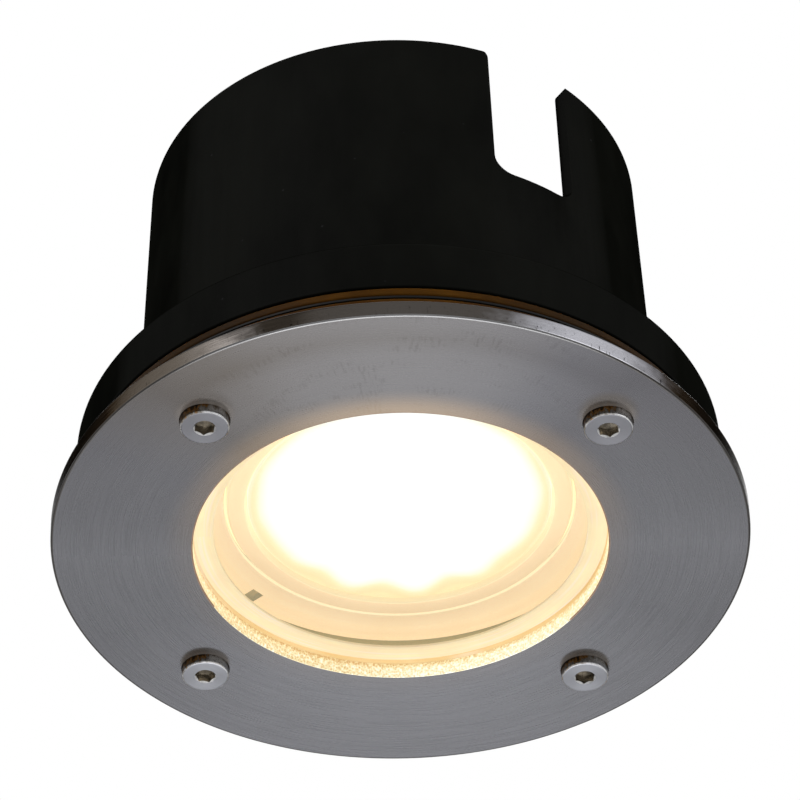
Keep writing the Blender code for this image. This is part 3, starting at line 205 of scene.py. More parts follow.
def stops(factor, *steps):
    """A colour ramp, from (place, colour) or (place, grey) steps."""
    node = add(factor.id_data, "ShaderNodeValToRGB", {"Fac": factor})
    ramp = node.color_ramp
    while len(ramp.elements) < len(steps):
        ramp.elements.new(0.5)
    for element, (where, colour) in zip(ramp.elements, steps):
        element.position = where
        element.color = (*colour, 1) if isinstance(colour, tuple) else (colour, colour, colour, 1)
    return node.outputs["Color"]


def relief(shader, height, depth, strength):
    """Raises the surface where height is 1 by depth, in millimetres."""
    values = {"Height": height, "Distance": depth * MM, "Strength": strength}
    wire(shader, Normal=made("ShaderNodeBump", values))


# Finishes

def brushed_steel(name, colour, streak, dulled, roughness=0.27, lustre=0.55, glow=0):
    """Stainless brushed in circles: fine rings of streaks, rows of short faint dashes and cloudy marks.
    Painted shade darkens it by side round the axis, more outwards and in a band next to the near side; dulled
    sets how much. A painted glow warms it beside the opening, mostly on the near side, with painted shadows by
    the screw heads."""
    sockets = {"Metallic": 1, "Anisotropic": lustre, "Anisotropic_Rotation": 0.25}
    material, tree, shader = finish(name, colour, roughness, **sockets)
    radius, far = around(tree)[0], far_side(tree)
    lines = rings(tree, (6800, 7, 900), 5, 0.65)
    bands = rings(tree, (2100, 3, 400), 4, 0.65)
    both = plus((lines, 0.6), (bands, 0.4))
    clouds = sums("SUBTRACT", grain(tree, 26, 4), 0.5)
    shaded = ranged(plus(both, (clouds, 0.9)), 0.25, 0.75)
    swing = 2.2 * streak
    shown = tone(shaded, scaled(colour, 1 - swing), scaled(colour, 1 + swing))
    dashes = ranged(rings(tree, (300, 95, 0), 2), 0.5, 0.62)
    groups = ranged(rings(tree, (260, 5, 0), 2, 0.5), 0.53, 0.6)
    marks = times(dashes, groups, ranged(far, -0.95, -0.6, 1, 0))
    shown = tone(marks, shown, scaled(colour, 0.84))

    # Painted shade: the colour turns towards deep by side round the axis, most towards the near side, more
    # outwards, and in a band round 68 mm on the near side.
    near_to_far = ranged(far, -1, 1)
    painted_shade = stops(
        near_to_far, (0, 0.54), (0.03, 0.63), (0.07, 0.82), (0.13, 0.97), (0.25, 0.74), (0.4, 0.36),
        (0.5, 0.04), (0.7, 0.23), (0.93, 0),
    )
    outwards = ranged(radius, 56 * MM, 74 * MM, 1.4 * dulled, 1.75 * dulled)
    from_band = sums("ABSOLUTE", sums("SUBTRACT", radius, 68 * MM))
    band = ranged(from_band, 0, 5 * MM, 0.4, 0)
    band = times(band, ranged(far, -0.95, -0.7, 1, 0))
    painted_shade = times(painted_shade, plus(outwards, (band, dulled)))
    deep = (0.032, 0.03, 0.033)
    if glow:
        # Painted warm light: the painted shade turns amber towards one side.
        painted_warm_side = ranged(towards(tree, -105), 0.7, 0.97)
        deep = tone(painted_warm_side, deep, (0.039, 0.028, 0.014))
    shown = tone(painted_shade, shown, deep)
    if glow:
        shown, painted_glow = painted_screw_shadows(tree, shown)
        # Painted glow: warm light on the steel beside the opening, strongest on the near side, with the
        # painted glow by the screw heads.
        near = stops(near_to_far, (0, 1), (0.07, 0.55), (0.25, 0.3), (0.5, 0.1), (1, 0.06))
        edge = ranged(radius, 44 * MM, 53 * MM, glow, 0, "SMOOTHERSTEP")
        warm = tone(ranged(painted_glow, 0, 0.02), (1, 0.6, 0.18), (1, 0.88, 0.78))
        strength = sums("MAXIMUM", painted_glow, times(near, edge))
        wire(shader, Emission_Color=warm, Emission_Strength=strength)
    rough = spread(both, roughness - 0.03, roughness + 0.04)
    tangent = add(tree, "ShaderNodeTangent", direction_type="RADIAL", axis="Z").outputs[0]
    wire(shader, Base_Color=shown, Roughness=rough, Tangent=tangent)
    relief(shader, both, 0.005, 0.09)
    return material


def painted_screw_shadows(tree, shown):
    """Painted shadows and reflections of the screw heads beside them, over the colours given: wide and soft on
    the near side, narrow on the far side. Also a painted glow that lights them where they meet the heads."""
    point, painted_glow = spot(tree), 0
    for number in SCREWS:
        x, y = screw_spot(number)
        shift, inner, outer, share = (3.4, 4.4, 7.2, 1) if y < 0 else (2.4, 4.9, 5.7, 0.75)
        away = []
        for drop in (0, shift):
            ends = {0: point, 1: metres(x, y - drop, BEZEL_FRONT)}
            away.append(add(tree, "ShaderNodeVectorMath", ends, operation="DISTANCE").outputs["Value"])
        from_head, from_shade = away
        # Painted shadow and reflection of the head, in a dark colour beside it.
        painted_shadow = ranged(from_shade, inner * MM, outer * MM, 0.95, 0, "SMOOTHSTEP")
        shown = tone(painted_shadow, shown, scaled((0.07, 0.064, 0.06), share))
        # Painted glow where the painted shadow meets the head.
        beside = ranged(from_head, 5.8 * MM, 7.2 * MM, 0.075 * share, 0)
        painted_glow = sums("MAXIMUM", painted_glow, times(painted_shadow, beside))
    return shown, painted_glow


def turned_edge(name, dark, left, right):
    """The bezel's outer wall: turned, with cutter lines and nicks across it, and painted light round it: five
    painted highlights, lighter on one side, and painted shade that changes by side.
    """
    material, tree, shader = finish(name, right, 0.24, Metallic=1, Specular_Tint=(0.16, 0.16, 0.16))
    angle, z = around(tree)[1:]
    lines = rings(tree, (0, 9, 4200), 4)
    nicks = rings(tree, (0, 150, 420), 3, 0.7)
    patches = rings(tree, (0, 5, 120), 4, 0.7)
    # Painted highlights: five bright stretches round the wall.
    phase = times(plus(angle, math.radians(57)), 5)
    wave = plus(sums("COSINE", phase), (patches, 1.3))
    bright = ranged(wave, 0.6, 1.75, 0, 1, "SMOOTHSTEP")
    worn = times(ranged(nicks, 0.6, 0.68), ranged(z, -1.2 * MM, -2.6 * MM))
    # Painted light: the highlights' colour is lighter on one side.
    light = tone(ranged(sums("COSINE", angle), -0.6, 0.4), left, right)
    # Painted shade round the wall, which changes by side.
    near = ranged(towards(tree, -84), 0.92, 1, 0, 1, "SMOOTHSTEP")
    sides = ranged(far_side(tree), -0.9, -0.6, 1, 5)
    deep = made("ShaderNodeVectorMath", {0: dark, 3: sides}, operation="SCALE")
    deep = tone(near, deep, (0.068, 0.061, 0.055))
    streaked = tone(ranged(lines, 0.3, 0.75, 0, 0.35), tone(bright, deep, light), deep)
    wire(shader, Base_Color=tone(worn, streaked, scaled(dark, 0.3)), Roughness=spread(lines, 0.18, 0.38))
    relief(shader, sums("SUBTRACT", lines, worn), 0.02, 0.6)
    return material


def cut_wall(name, colour, glow):
    """The bezel's inner wall: torn by the cutter into upright facets, with painted glints of the lamp's light
    that glow, more on one side, and painted amber shade by the seal.
    """
    material, tree, shader = finish(name, colour, 0.3, Metallic=1)
    facets = add(tree, "ShaderNodeTexVoronoi", {"Vector": wound(tree, 0, 92, 2000), "Scale": 1})
    upright = rings(tree, (0, 150, 700), 4, 0.8)
    # Painted glints are stronger towards one side.
    painted_glint_side = ranged(towards(tree, 55), 0.6, 1, 0, 0.16)
    facets_and_painted_glints = plus((facets.outputs["Distance"], 0.5), painted_glint_side, (upright, 0.75))
    # Painted amber shade towards the seal.
    depth = ranged(around(tree)[2], -1.7 * MM, -0.6 * MM, 0, 0.34)
    lit = sums("SUBTRACT", ranged(facets_and_painted_glints, 0.36, 0.98), depth)
    colours = stops(
        lit, (0, (0.84, 0.54, 0.25)), (0.28, (0.98, 0.79, 0.45)), (0.55, (1, 0.91, 0.6)), (0.85, (1, 1, 0.9)),
    )
    wire(shader, Base_Color=tone(0.55, colours, BLACK), Emission_Color=colours)
    wire(shader, Emission_Strength=ranged(lit, 0.2, 0.9, 0.8 * glow, 1.25 * glow))
    relief(shader, facets_and_painted_glints, 0.06, 0.8)
    return material


def broken_edge(name, dark, light):
    """The bezel's front edge: a painted highlight on the near side, darker round the rest, with fine turning
    lines.
    """
    material, tree, shader = finish(name, light, 0.3, Metallic=1)
    lines = rings(tree, (4200, 9, 4200), 4)
    # Painted highlight on the near side.
    near = ranged(far_side(tree), -1, -0.75, 1, 0, "SMOOTHSTEP")
    mixed = times(near, spread(lines, 0.85, 1))
    wire(shader, Base_Color=tone(mixed, dark, light), Roughness=spread(lines, 0.24, 0.38))
    relief(shader, lines, 0.008, 0.5)
    return material


def plated(name, colour, roughness, wear, swirl):
    """Bright plated or turned metal, with fine turning lines and a duller bloom."""
    material, tree, shader = finish(name, colour, roughness, Metallic=1)
    lines = grain(tree, 1, stretch=(swirl, swirl, swirl * 2))
    bloom = grain(tree, 420)
    worn = scaled(colour, 1 - 2 * wear)
    wire(shader, Base_Color=tone(spread(bloom), worn, colour))
    mixed = plus((lines, 0.5), (bloom, 0.5))
    wire(shader, Roughness=spread(mixed, roughness * 0.7, roughness * 1.4))
    relief(shader, mixed, 0.008, 0.5)
    return material


def head_wall():
    """The screw heads' walls: polished, with painted reflections: dark next to the bezel, brown flecks of
    painted glints, and a painted highlight outwards and on one side.
    """
    material, tree, shader = finish("screw_wall", (0.8, 0.8, 0.8), 0.3, Metallic=1)
    patches = grain(tree, 900, stretch=(1, 1, 0.5))
    fine = grain(tree, 2400, 2, 0.5)
    # Painted reflection and highlight: dark next to the bezel, amber flecks, lighter towards the face and on
    # the side the side attribute marks.
    height = ranged(around(tree)[2], -4 * MM, -6 * MM, 0, 0.3)
    side = add(tree, "ShaderNodeAttribute", attribute_name="side").outputs["Fac"]
    level = plus(height, (side, 0.45), spread(patches, -0.12, 0.3))
    colours = stops(
        level, (0.1, (0.05, 0.035, 0.022)), (0.25, (0.42, 0.21, 0.06)), (0.33, (0.24, 0.21, 0.17)),
        (0.6, (0.8, 0.8, 0.81)),
    )
    wire(shader, Base_Color=colours, Roughness=spread(fine, 0.24, 0.4))
    relief(shader, plus(patches, fine), 0.02, 0.5)
    return material


def moulded(name, colour, roughness, variation, pebble, depth, **sockets):
    """Moulded plastic or rubber: a fine pebble, flow clouds and faint handling marks."""
    material, tree, shader = finish(name, colour, roughness, **sockets)
    fine = grain(tree, pebble, roughness=0.55)
    clouds = grain(tree, 45, 4, stretch=(1, 1, 0.6))
    rubs = grain(tree, 1, 2, stretch=(60, 60, 900))
    mixed = ranged(plus((clouds, 0.7), (fine, 0.3)), 0.35, 0.65)
    wire(shader, Base_Color=tone(mixed, scaled(colour, 1 - variation), scaled(colour, 1 + variation)))
    dulled = plus(clouds, ranged(rubs, 0.62, 0.8, 0, 0.5))
    wire(shader, Roughness=ranged(dulled, 0.3, 0.9, roughness - 0.06, roughness + 0.16))
    relief(shader, fine, depth, 0.5)
    return material


def canister_black():
    """Semi-gloss black moulding: draw marks up the wall, cloudy sheen and a few specks of dust."""
    material, tree, shader = finish("canister_black", (0.0035, 0.0037, 0.003), 0.42)
    draw = rings(tree, (0, 26, 22), 4)
    clouds = grain(tree, 38, 4, 0.62, (1, 1, 0.5))
    fine = grain(tree, 1900, 2, 0.5)
    dust = add(tree, "ShaderNodeTexVoronoi", {"Vector": place(tree), "Scale": 135}).outputs["Distance"]
    speck = times(ranged(dust, 0.02, 0.045, 1, 0), 0.5)
    base = tone(ranged(clouds, 0.35, 0.65), (0.0022, 0.0023, 0.0018), (0.005, 0.0052, 0.0042))
    sheen = plus((draw, 0.6), (clouds, 0.4))
    wire(shader, Base_Color=tone(speck, base, (0.03, 0.03, 0.032)), Roughness=spread(sheen, 0.34, 0.52))
    facing = add(tree, "ShaderNodeLayerWeight", {"Blend": 0.5}).outputs["Facing"]
    # Painted sheen: the far side is glossier than the near side, and the gloss fades where the wall turns away
    # from the view.
    painted_sheen_by_side = ranged(far_side(tree), 0.1, 0.6, 0.02, 0.11)
    wire(shader, Specular_IOR_Level=times(ranged(facing, 0.1, 0.65, 1, 0), painted_sheen_by_side))
    relief(shader, plus(draw, (fine, 0.25)), 0.05, 0.6)
    return material


def silicone(name, colour, deep, glow=0, body=1, gloss=0.15):
    """Translucent silicone: deeper where it is thick, with flow lines and a soft skin. A glow is painted
    light: the lamp's light in it, stronger outwards along the lip, with pale lines round it. Without a glow it
    has painted shade towards the sides."""
    sockets = {"Subsurface_Weight": 0.35, "Subsurface_Scale": 1.5 * MM, "Subsurface_Radius": (1, 0.6, 0.25)}
    material, tree, shader = finish(name, colour, 0.42, gloss, **sockets)
    radius, far = around(tree)[0], far_side(tree)
    flow = rings(tree, (900, 4, 500))
    clouds = grain(tree, 110, roughness=0.55)
    mixed = plus((flow, 0.5), (clouds, 0.5))
    colours = tone(ranged(mixed, 0.35, 0.65), deep, colour)
    if glow:
        outer = ranged(far, 0.4, 0.85, 0.92 * glow, 1.07 * glow)
        strength = ranged(radius, 40.6 * MM, 44.4 * MM, 0.65 * glow, outer)
        # Pale lines round the lip in the painted glow.
        lines = ranged(rings(tree, (1900, 1.5, 0), 2, 0.5), 0.54, 0.66, 0, 0.5)
        colours = tone(lines, colours, (1, 0.86, 0.73))
        wire(shader, Emission_Color=colours, Emission_Strength=strength)
    else:
        # Painted shade: darker towards the sides.
        shaded = ranged(sums("ABSOLUTE", far), 1, 0.87, 0, 0.7)
        colours = tone(shaded, colours, (0.012, 0.009, 0.006))
    wire(shader, Base_Color=tone(body, BLACK, colours), Roughness=spread(clouds, 0.34, 0.52))
    relief(shader, mixed, 0.03, 0.5)
    return material


def lit_moulding(name, colour, deep, glow, near, fade=(37, 38, 1)):
    """White moulding in the lamp's light: a fine granular skin. Most of its colour is the light in it, times
    near on the near side. A fade is two distances from the axis and the light's share at the first."""
    material, tree, shader = finish(name, colour, 0.5, 0.3)
    fine = grain(tree, 2200)
    lines = rings(tree, (900, 2.5, 0), roughness=0.55)
    mixed = plus((fine, 0.45), (lines, 0.25), (grain(tree, 70), 0.3))
    colours = tone(ranged(mixed, 0.36, 0.64), deep, colour)
    start, stop, share = fade
    faded = ranged(around(tree)[0], start * MM, stop * MM, share, 1)
    strength = times(faded, ranged(far_side(tree), 0.6, -0.6, glow, glow * near))
    wire(shader, Emission_Color=colours, Emission_Strength=strength)
    wire(shader, Base_Color=tone(0.25, BLACK, colours), Roughness=spread(fine, 0.42, 0.6))
    relief(shader, fine, 0.03, 0.6)
    return material


def lit_opal():
    """Opal disc lit by twelve chips: burnt out in the middle, scalloped by them, peach towards the rim."""
    material, tree, shader = finish("lit_opal", (1, 0.9, 0.74), 0.35)
    radius, angle = around(tree)[:2]
    far = far_side(tree)
    phase = plus((angle, 12), math.radians(78))
    swing = times(sums("COSINE", phase), ranged(far, 0.55, 0.95, 0.15 * MM, 1.5 * MM))
    wider = ranged(far, -0.8, 0.8, 2.7 * MM, 0)
    reach = sums("SUBTRACT", sums("SUBTRACT", radius, swing), wider)
    light = stops(
        ranged(reach, 26 * MM, 33.2 * MM),
        (0.1, (1, 1, 1)), (0.25, (0.99, 0.966, 0.89)), (0.403, (0.985, 0.94, 0.72)),
        (0.535, (0.98, 0.86, 0.49)), (0.674, (0.96, 0.79, 0.41)), (0.806, (0.955, 0.76, 0.375)),
        (0.944, (0.965, 0.8, 0.4)),
    )
    rim = times(ranged(radius, 32 * MM, 33 * MM), ranged(far, 0.9, -0.1, 0, 0.8))
    light = tone(rim, light, (1, 0.99, 0.8))
    fine = grain(tree, 2600)
    wire(shader, Emission_Color=light, Emission_Strength=spread(fine, 0.99, 1.04))
    wire(shader, Base_Color=tone(fine, (0.035, 0.03, 0.02), (0.05, 0.04, 0.03)))
    relief(shader, fine, 0.02, 0.4)
    return material


def deep_moulding(name, shade, lit, low):
    """Walls beside the lamp: olive where little light falls, near their face, and lit further back."""
    material, tree, shader = finish(name, shade, 0.5, 0.3)
    fine = grain(tree, 2200)
    height = plus(around(tree)[2], (fine, 1 * MM))
    back = ranged(height, 15 * MM, 18.5 * MM, 0, 1, "SMOOTHSTEP")
    colours = tone(back, shade, lit)
    strength = ranged(back, 0, 1, low, 0.8)
    wire(shader, Base_Color=colours, Emission_Color=colours, Emission_Strength=strength)
    relief(shader, fine, 0.03, 0.5)
    return material


def clear_glass():
    """Toughened glass, faintly green, with a trace of dust. The lamps' light passes straight through it."""
    sockets = {"IOR": 1.5, "Transmission_Weight": 1}
    material, tree, shader = finish("toughened_glass", (0.97, 0.985, 0.97), 0, 0.35, **sockets)
    smear = grain(tree, 60)
    wire(shader, Roughness=ranged(smear, 0.45, 0.75, 0, 0.02))
    wire(shader, Base_Color=tone(smear, (0.975, 0.99, 0.975), (0.96, 0.975, 0.955)))
    shadow = add(tree, "ShaderNodeLightPath").outputs["Is Shadow Ray"]
    through = add(tree, "ShaderNodeBsdfTransparent", {"Color": (0.95, 0.96, 0.94)}).outputs[0]
    mix = made("ShaderNodeMixShader", {0: shadow, 1: shader.outputs[0], 2: through})
    wire(tree.nodes["Material Output"], Surface=mix)
    return material


def board(name, colour, track):
    """A circuit board: solder mask with the tracks showing faintly through it."""
    material, tree, shader = finish(name, colour, 0.32, Coat_Weight=0.4, Coat_Roughness=0.15)
    values = {"Vector": place(tree), "Scale": 320, "Randomness": 0.7}
    cells = add(tree, "ShaderNodeTexVoronoi", values, feature="DISTANCE_TO_EDGE")
    lines = ranged(cells.outputs["Distance"], 0.05, 0.11, 1, 0)
    wire(shader, Base_Color=tone(times(lines, 0.7), colour, track))
    relief(shader, plus(lines, (grain(tree, 2400, 2, 0.5), 0.3)), 0.03, 0.6)
    return material


def wound_tape():
    """Tape wound round the coil: bands along its height, with lapped edges."""
    material, tree, shader = finish("wound_tape", (0.62, 0.42, 0.1), 0.35)
    band = sums("FRACT", split(place(tree, (1, 1, 900)))["Z"])
    fine = grain(tree, 700, roughness=0.5, stretch=(1, 1, 12))
    wire(shader, Base_Color=tone(band, (0.4, 0.24, 0.05), (0.72, 0.52, 0.16)))
    relief(shader, plus(band, (fine, 0.3)), 0.1, 0.7)
    return material


def insulation(name, colour, stripe=None):
    """Extruded lead insulation: draw lines along it, and a second colour where the lead has one."""
    material, tree, shader = finish(name, colour, 0.33, Coat_Weight=0.25, Coat_Roughness=0.2)
    fine = grain(tree, 1, roughness=0.5, stretch=(900, 900, 160))
    colours = tone(spread(fine), scaled(colour, 0.8), colour)
    if stripe:
        across = split(place(tree, (900, 1, 1)))["X"]
        colours = tone(ranged(sums("SINE", across), 0, 0.1), colours, stripe)
    wire(shader, Base_Color=colours)
    relief(shader, fine, 0.03, 0.5)
    return material


# Shapes

def metres(x, y, z):
    return x * MM, y * MM, z * MM


def polar(radius, azimuth):
    return radius * math.cos(azimuth), radius * math.sin(azimuth)


def screw_spot(number):
    """Where a screw's axis crosses the bezel."""
    return polar(SCREW_CIRCLE, SCREW_AZIMUTH + (number - 1) * math.pi / 2)


def about_z(angle):
    return Matrix.Rotation(angle, 4, "Z")


def outline(corners, steps):
    """An outline's points from corners (x, y) or (x, y, round). Points beside each round corner hold the
    flats flat."""
    rounds = [corner[2] if len(corner) > 2 else 0 for corner in corners]
    count = len(corners)
    points = []
    for index, corner in enumerate(corners):
        here = Vector(corner[:2])
        if not rounds[index]:
            points.append(here)
            continue
        last, following = Vector(corners[index - 1][:2]), Vector(corners[(index + 1) % count][:2])
        before, after = (last - here).normalized(), (following - here).normalized()
        half = before.angle(after) / 2
        reach = rounds[index] / math.tan(half)
        centre = here + (before + after).normalized() * (rounds[index] / math.sin(half))
        start = here + before * reach - centre
        sweep = (math.pi - 2 * half) * (1 if before.cross(after) < 0 else -1)
        hold = min(0.15, rounds[index] / 2)
        if (last - here).length > reach + rounds[index - 1] + 3 * hold:
            points.append(here + before * (reach + hold))
        points += [centre + Matrix.Rotation(sweep * step / steps, 2) @ start for step in range(steps + 1)]
        if (following - here).length > reach + rounds[(index + 1) % count] + 3 * hold:
            points.append(here + after * (reach + hold))
    return points


def rod(radius, low, high, low_round=0, high_round=0):
    """The corners of a plain rod on the axis, to be turned."""
    return [(0, high), (radius, high, high_round), (radius, low, low_round), (0, low)]


def hexagon(flats, turn=0):
    """The six corners of a hexagon, sized across its flats."""
    radius = flats / 2 / math.cos(math.pi / 6)
    return [polar(radius, turn + k * math.pi / 3) for k in range(6)]


def link(name, mesh):
    """An object for a mesh, in the scene."""
    piece = bpy.data.objects.new(name, mesh)
    bpy.context.scene.collection.objects.link(piece)
    return piece


def built(name, verts, faces, turn=None):
    """A piece from points and faces, turned as a whole, with doubled points merged and faces outwards."""
    mesh = bpy.data.meshes.new(name)
    mesh.from_pydata(verts, [], faces)
    if turn:
        mesh.transform(turn)
    shape = bmesh.new()
    shape.from_mesh(mesh)
    bmesh.ops.remove_doubles(shape, verts=shape.verts, dist=0.0005 * MM)
    bmesh.ops.recalc_face_normals(shape, faces=shape.faces)
    shape.to_mesh(mesh)
    shape.free()
    return link(name, mesh)


def turned(name, corners, sides=192, steps=5, at=(0, 0)):
    """A body of revolution from corners (radius, height). It ends on the axis, or closes on itself."""
    points = outline(corners, steps)
    verts, rows, faces = [], [], []
    for point in points:
        count = sides if point.x > 1e-6 else 1
        rows.append([len(verts) + step for step in range(count)])
        for step in range(count):
            x, y = polar(point.x, math.tau * step / sides)
            verts.append(metres(x + at[0], y + at[1], point.y))
    pairs = list(zip(rows, rows[1:]))
    if points[0].x > 1e-6:
        pairs.append((rows[-1], rows[0]))
    for lower, upper in pairs:
        for step in range(sides):
            face = [lower[step % len(lower)], lower[(step + 1) % len(lower)]]
            face += [upper[(step + 1) % len(upper)], upper[step % len(upper)]]
            face = list(dict.fromkeys(face))
            if len(face) > 2:
                faces.append(face)
    return built(name, verts, faces)


def prism(name, points, low, high, turn=None):
    """A flat outline carried from one height to another, then turned as a whole."""
    count = len(points)
    verts = [metres(x, y, z) for z in (low, high) for x, y in points]
    faces = [list(range(count)), list(range(count, 2 * count))]
    faces += [[k, (k + 1) % count, count + (k + 1) % count, count + k] for k in range(count)]
    return built(name, verts, faces, turn)


def settled(piece):
    """Makes a piece a plain mesh with its modifiers in it."""
    mesh = bpy.data.meshes.new_from_object(piece.evaluated_get(bpy.context.evaluated_depsgraph_get()))
    piece.modifiers.clear()
    piece.data = mesh
    return piece


def combined(piece, tool, operation="DIFFERENCE"):
    """Cuts, joins or keeps what a tool shares with a piece, and removes the tool."""
    boolean = piece.modifiers.new(operation, "BOOLEAN")
    boolean.operation = operation
    boolean.object = tool
    boolean.solver = "EXACT"
    settled(piece)
    bpy.data.objects.remove(tool)
    return piece


def at_screws(piece, corners, sides=32, operation="DIFFERENCE"):
    """Cuts a turned shape out of a piece at each screw, or joins it on."""
    tool = turned("at_screws", corners, sides, 1, screw_spot(SCREWS[0]))
    return combined(piece, repeated(tool, len(SCREWS)), operation)


def bevelled_hexagon(name, flats, *edge):
    """A hexagon whose corners are turned down to an edge, given as (radius, height) from high to low."""
    high, low = edge[0][1], edge[-1][1]
    limit = turned("hexagon_edges", [(0, high), *edge, (0, low)], 96, 1)
    return combined(prism(name, hexagon(flats), low, high), limit, "INTERSECT")


def joined(name, *pieces):
    """One mesh from several pieces."""
    shape = bmesh.new()
    for piece in pieces:
        shape.from_mesh(piece.data)
        bpy.data.objects.remove(piece)
    mesh = bpy.data.meshes.new(name)
    shape.to_mesh(mesh)
    shape.free()
    return link(name, mesh)


def moved(piece, x, y, z=0):
    """Moves a piece, in its mesh."""
    piece.data.transform(Matrix.Translation(metres(x, y, z)))
    return piece


def painted(piece, *finishes, choose=None):
    """Gives a piece its finishes. Of several, choose(radius, centre, normal) says which one a face gets;
    radius is how far its centre is from the axis, and both are in millimetres."""
    piece.data.materials.clear()
    for material in finishes:
        piece.data.materials.append(material)
    for face in piece.data.polygons:
        centre = face.center / MM
        chosen = choose(centre.xy.length, centre, face.normal) if choose else finishes[0]
        face.material_index = finishes.index(chosen)
    return piece


def dress(piece, body, node):
    """Shades a finished piece smooth between its sharp edges, and puts it on its body in place of its node."""
    piece.data.shade_smooth()
    piece.data.set_sharp_from_angle(angle=SHARP)
    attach(piece, body)
    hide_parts(node)


# Trees of geometry nodes

def new_tree(name, *inputs):
    """A geometry tree with its named inputs, each (name, kind, value)."""
    tree = bpy.data.node_groups.new(name, "GeometryNodeTree")
    for way in ("OUTPUT", "INPUT"):
        tree.interface.new_socket("Geometry", in_out=way, socket_type="NodeSocketGeometry")
    for label, kind, value in inputs:
        socket = tree.interface.new_socket(label, in_out="INPUT", socket_type="NodeSocket" + kind)
        socket.default_value = value
    tree.interface.new_socket("Finish", in_out="INPUT", socket_type="NodeSocketMaterial")
    return tree, add(tree, "NodeGroupInput").outputs


def end_tree(tree, geometry, given):
    """Ends a tree with real geometry in its finish."""
    real = made("GeometryNodeRealizeInstances", {"Geometry": geometry})
    coated = made("GeometryNodeSetMaterial", {"Geometry": real, "Material": given["Finish"]})
    add(tree, "NodeGroupOutput", {"Geometry": coated})
    return tree


def position(tree):
    """The three parts of the point that a tree is at."""
    return split(add(tree, "GeometryNodeInputPosition").outputs[0])


def drawn_in(tree, geometry, loss, radius):
    """Draws points in towards the axis, by a loss at a radius."""
    x, y, z = position(tree)
    scale = sums("SUBTRACT", 1, sums("DIVIDE", loss, radius))
    values = {"X": times(x, scale), "Y": times(y, scale), "Z": z}
    point = made("ShaderNodeCombineXYZ", values)
    return made("GeometryNodeSetPosition", {"Geometry": geometry, "Position": point})


def round_the_axis():
    """Repeats the piece it is given evenly round the Z axis."""
    tree, given = new_tree("round_the_axis", ("Count", "Int", 4))
    points = made("GeometryNodePoints", {"Count": given["Count"]})
    step = sums("DIVIDE", math.tau, given["Count"])
    angle = times(add(tree, "GeometryNodeInputIndex").outputs[0], step)
    turn = made("ShaderNodeCombineXYZ", {"Z": angle})
    values = {"Points": points, "Instance": given["Geometry"], "Rotation": turn}
    return end_tree(tree, made("GeometryNodeInstanceOnPoints", values), given)


def threaded_rod():
    """A rod with a screw thread that runs out at both ends."""
    tree, given = new_tree(
        "threaded_rod", ("Radius", "Float", 0.003), ("Length", "Float", 0.02), ("Pitch", "Float", 0.001),
        ("Depth", "Float", 0.0005), ("Sides", "Int", 40), ("Rings", "Int", 160),
    )
    values = {"Vertices": "Sides", "Side Segments": "Rings", "Radius": "Radius", "Depth": "Length"}
    values = {key: given[label] for key, label in values.items()}
    plain = add(tree, "GeometryNodeMeshCylinder", values).outputs["Mesh"]
    x, y, z = position(tree)
    turns = sums("DIVIDE", sums("ARCTAN2", y, x), math.tau)
    phase = sums("SUBTRACT", sums("DIVIDE", z, given["Pitch"]), turns)
    wave = times(sums("PINGPONG", phase, 0.5), 2)
    crest = sums("MINIMUM", times(wave, 1.25), 1)
    from_end = sums("SUBTRACT", times(given["Length"], 0.5), sums("ABSOLUTE", z))
    start = sums("MINIMUM", sums("DIVIDE", from_end, given["Pitch"]), 1)
    height = times(crest, sums("MAXIMUM", start, 0))
    loss = times(sums("SUBTRACT", 1, height), given["Depth"])
    return end_tree(tree, drawn_in(tree, plain, loss, given["Radius"]), given)


def knurled():
    """Presses grooves round the wall of the piece it is given, between two heights."""
    tree, given = new_tree(
        "knurled", ("Count", "Int", 44), ("Depth", "Float", 0.0001), ("Wall", "Float", 0.0049),
        ("Low", "Float", 0), ("High", "Float", 0.001), ("Slant", "Float", 0),
    )
    x, y, z = position(tree)
    radius = span(x, y)
    turns = sums("DIVIDE", sums("ARCTAN2", y, x), math.tau)
    leaning = plus((turns, given["Count"]), (z, given["Slant"]))
    groove = times(sums("PINGPONG", leaning, 0.5), 2)
    above = sums("GREATER_THAN", z, given["Low"])
    below = sums("LESS_THAN", z, given["High"])
    on_wall = sums("GREATER_THAN", radius, given["Wall"])
    depth = times(groove, times(above, below, on_wall), given["Depth"])
    return end_tree(tree, drawn_in(tree, given["Geometry"], depth, radius), given)


def grown(piece, tree, **values):
    """Runs a geometry tree on a piece, and keeps the result as its mesh."""
    modifier = piece.modifiers.new(tree.name, "NODES")
    modifier.node_group = tree
    for item in tree.interface.items_tree:
        if item.item_type == "SOCKET" and item.in_out == "INPUT" and item.name in values:
            modifier[item.identifier] = values[item.name]
    return settled(piece)


def repeated(piece, count):
    return grown(piece, ROUND_THE_AXIS, Count=count)


def thread(name, middle, **sizes):
    """A threaded rod on the axis, its middle at a height."""
    return moved(grown(link(name, bpy.data.meshes.new(name)), THREADED_ROD, **sizes), 0, 0, middle)


# Pieces

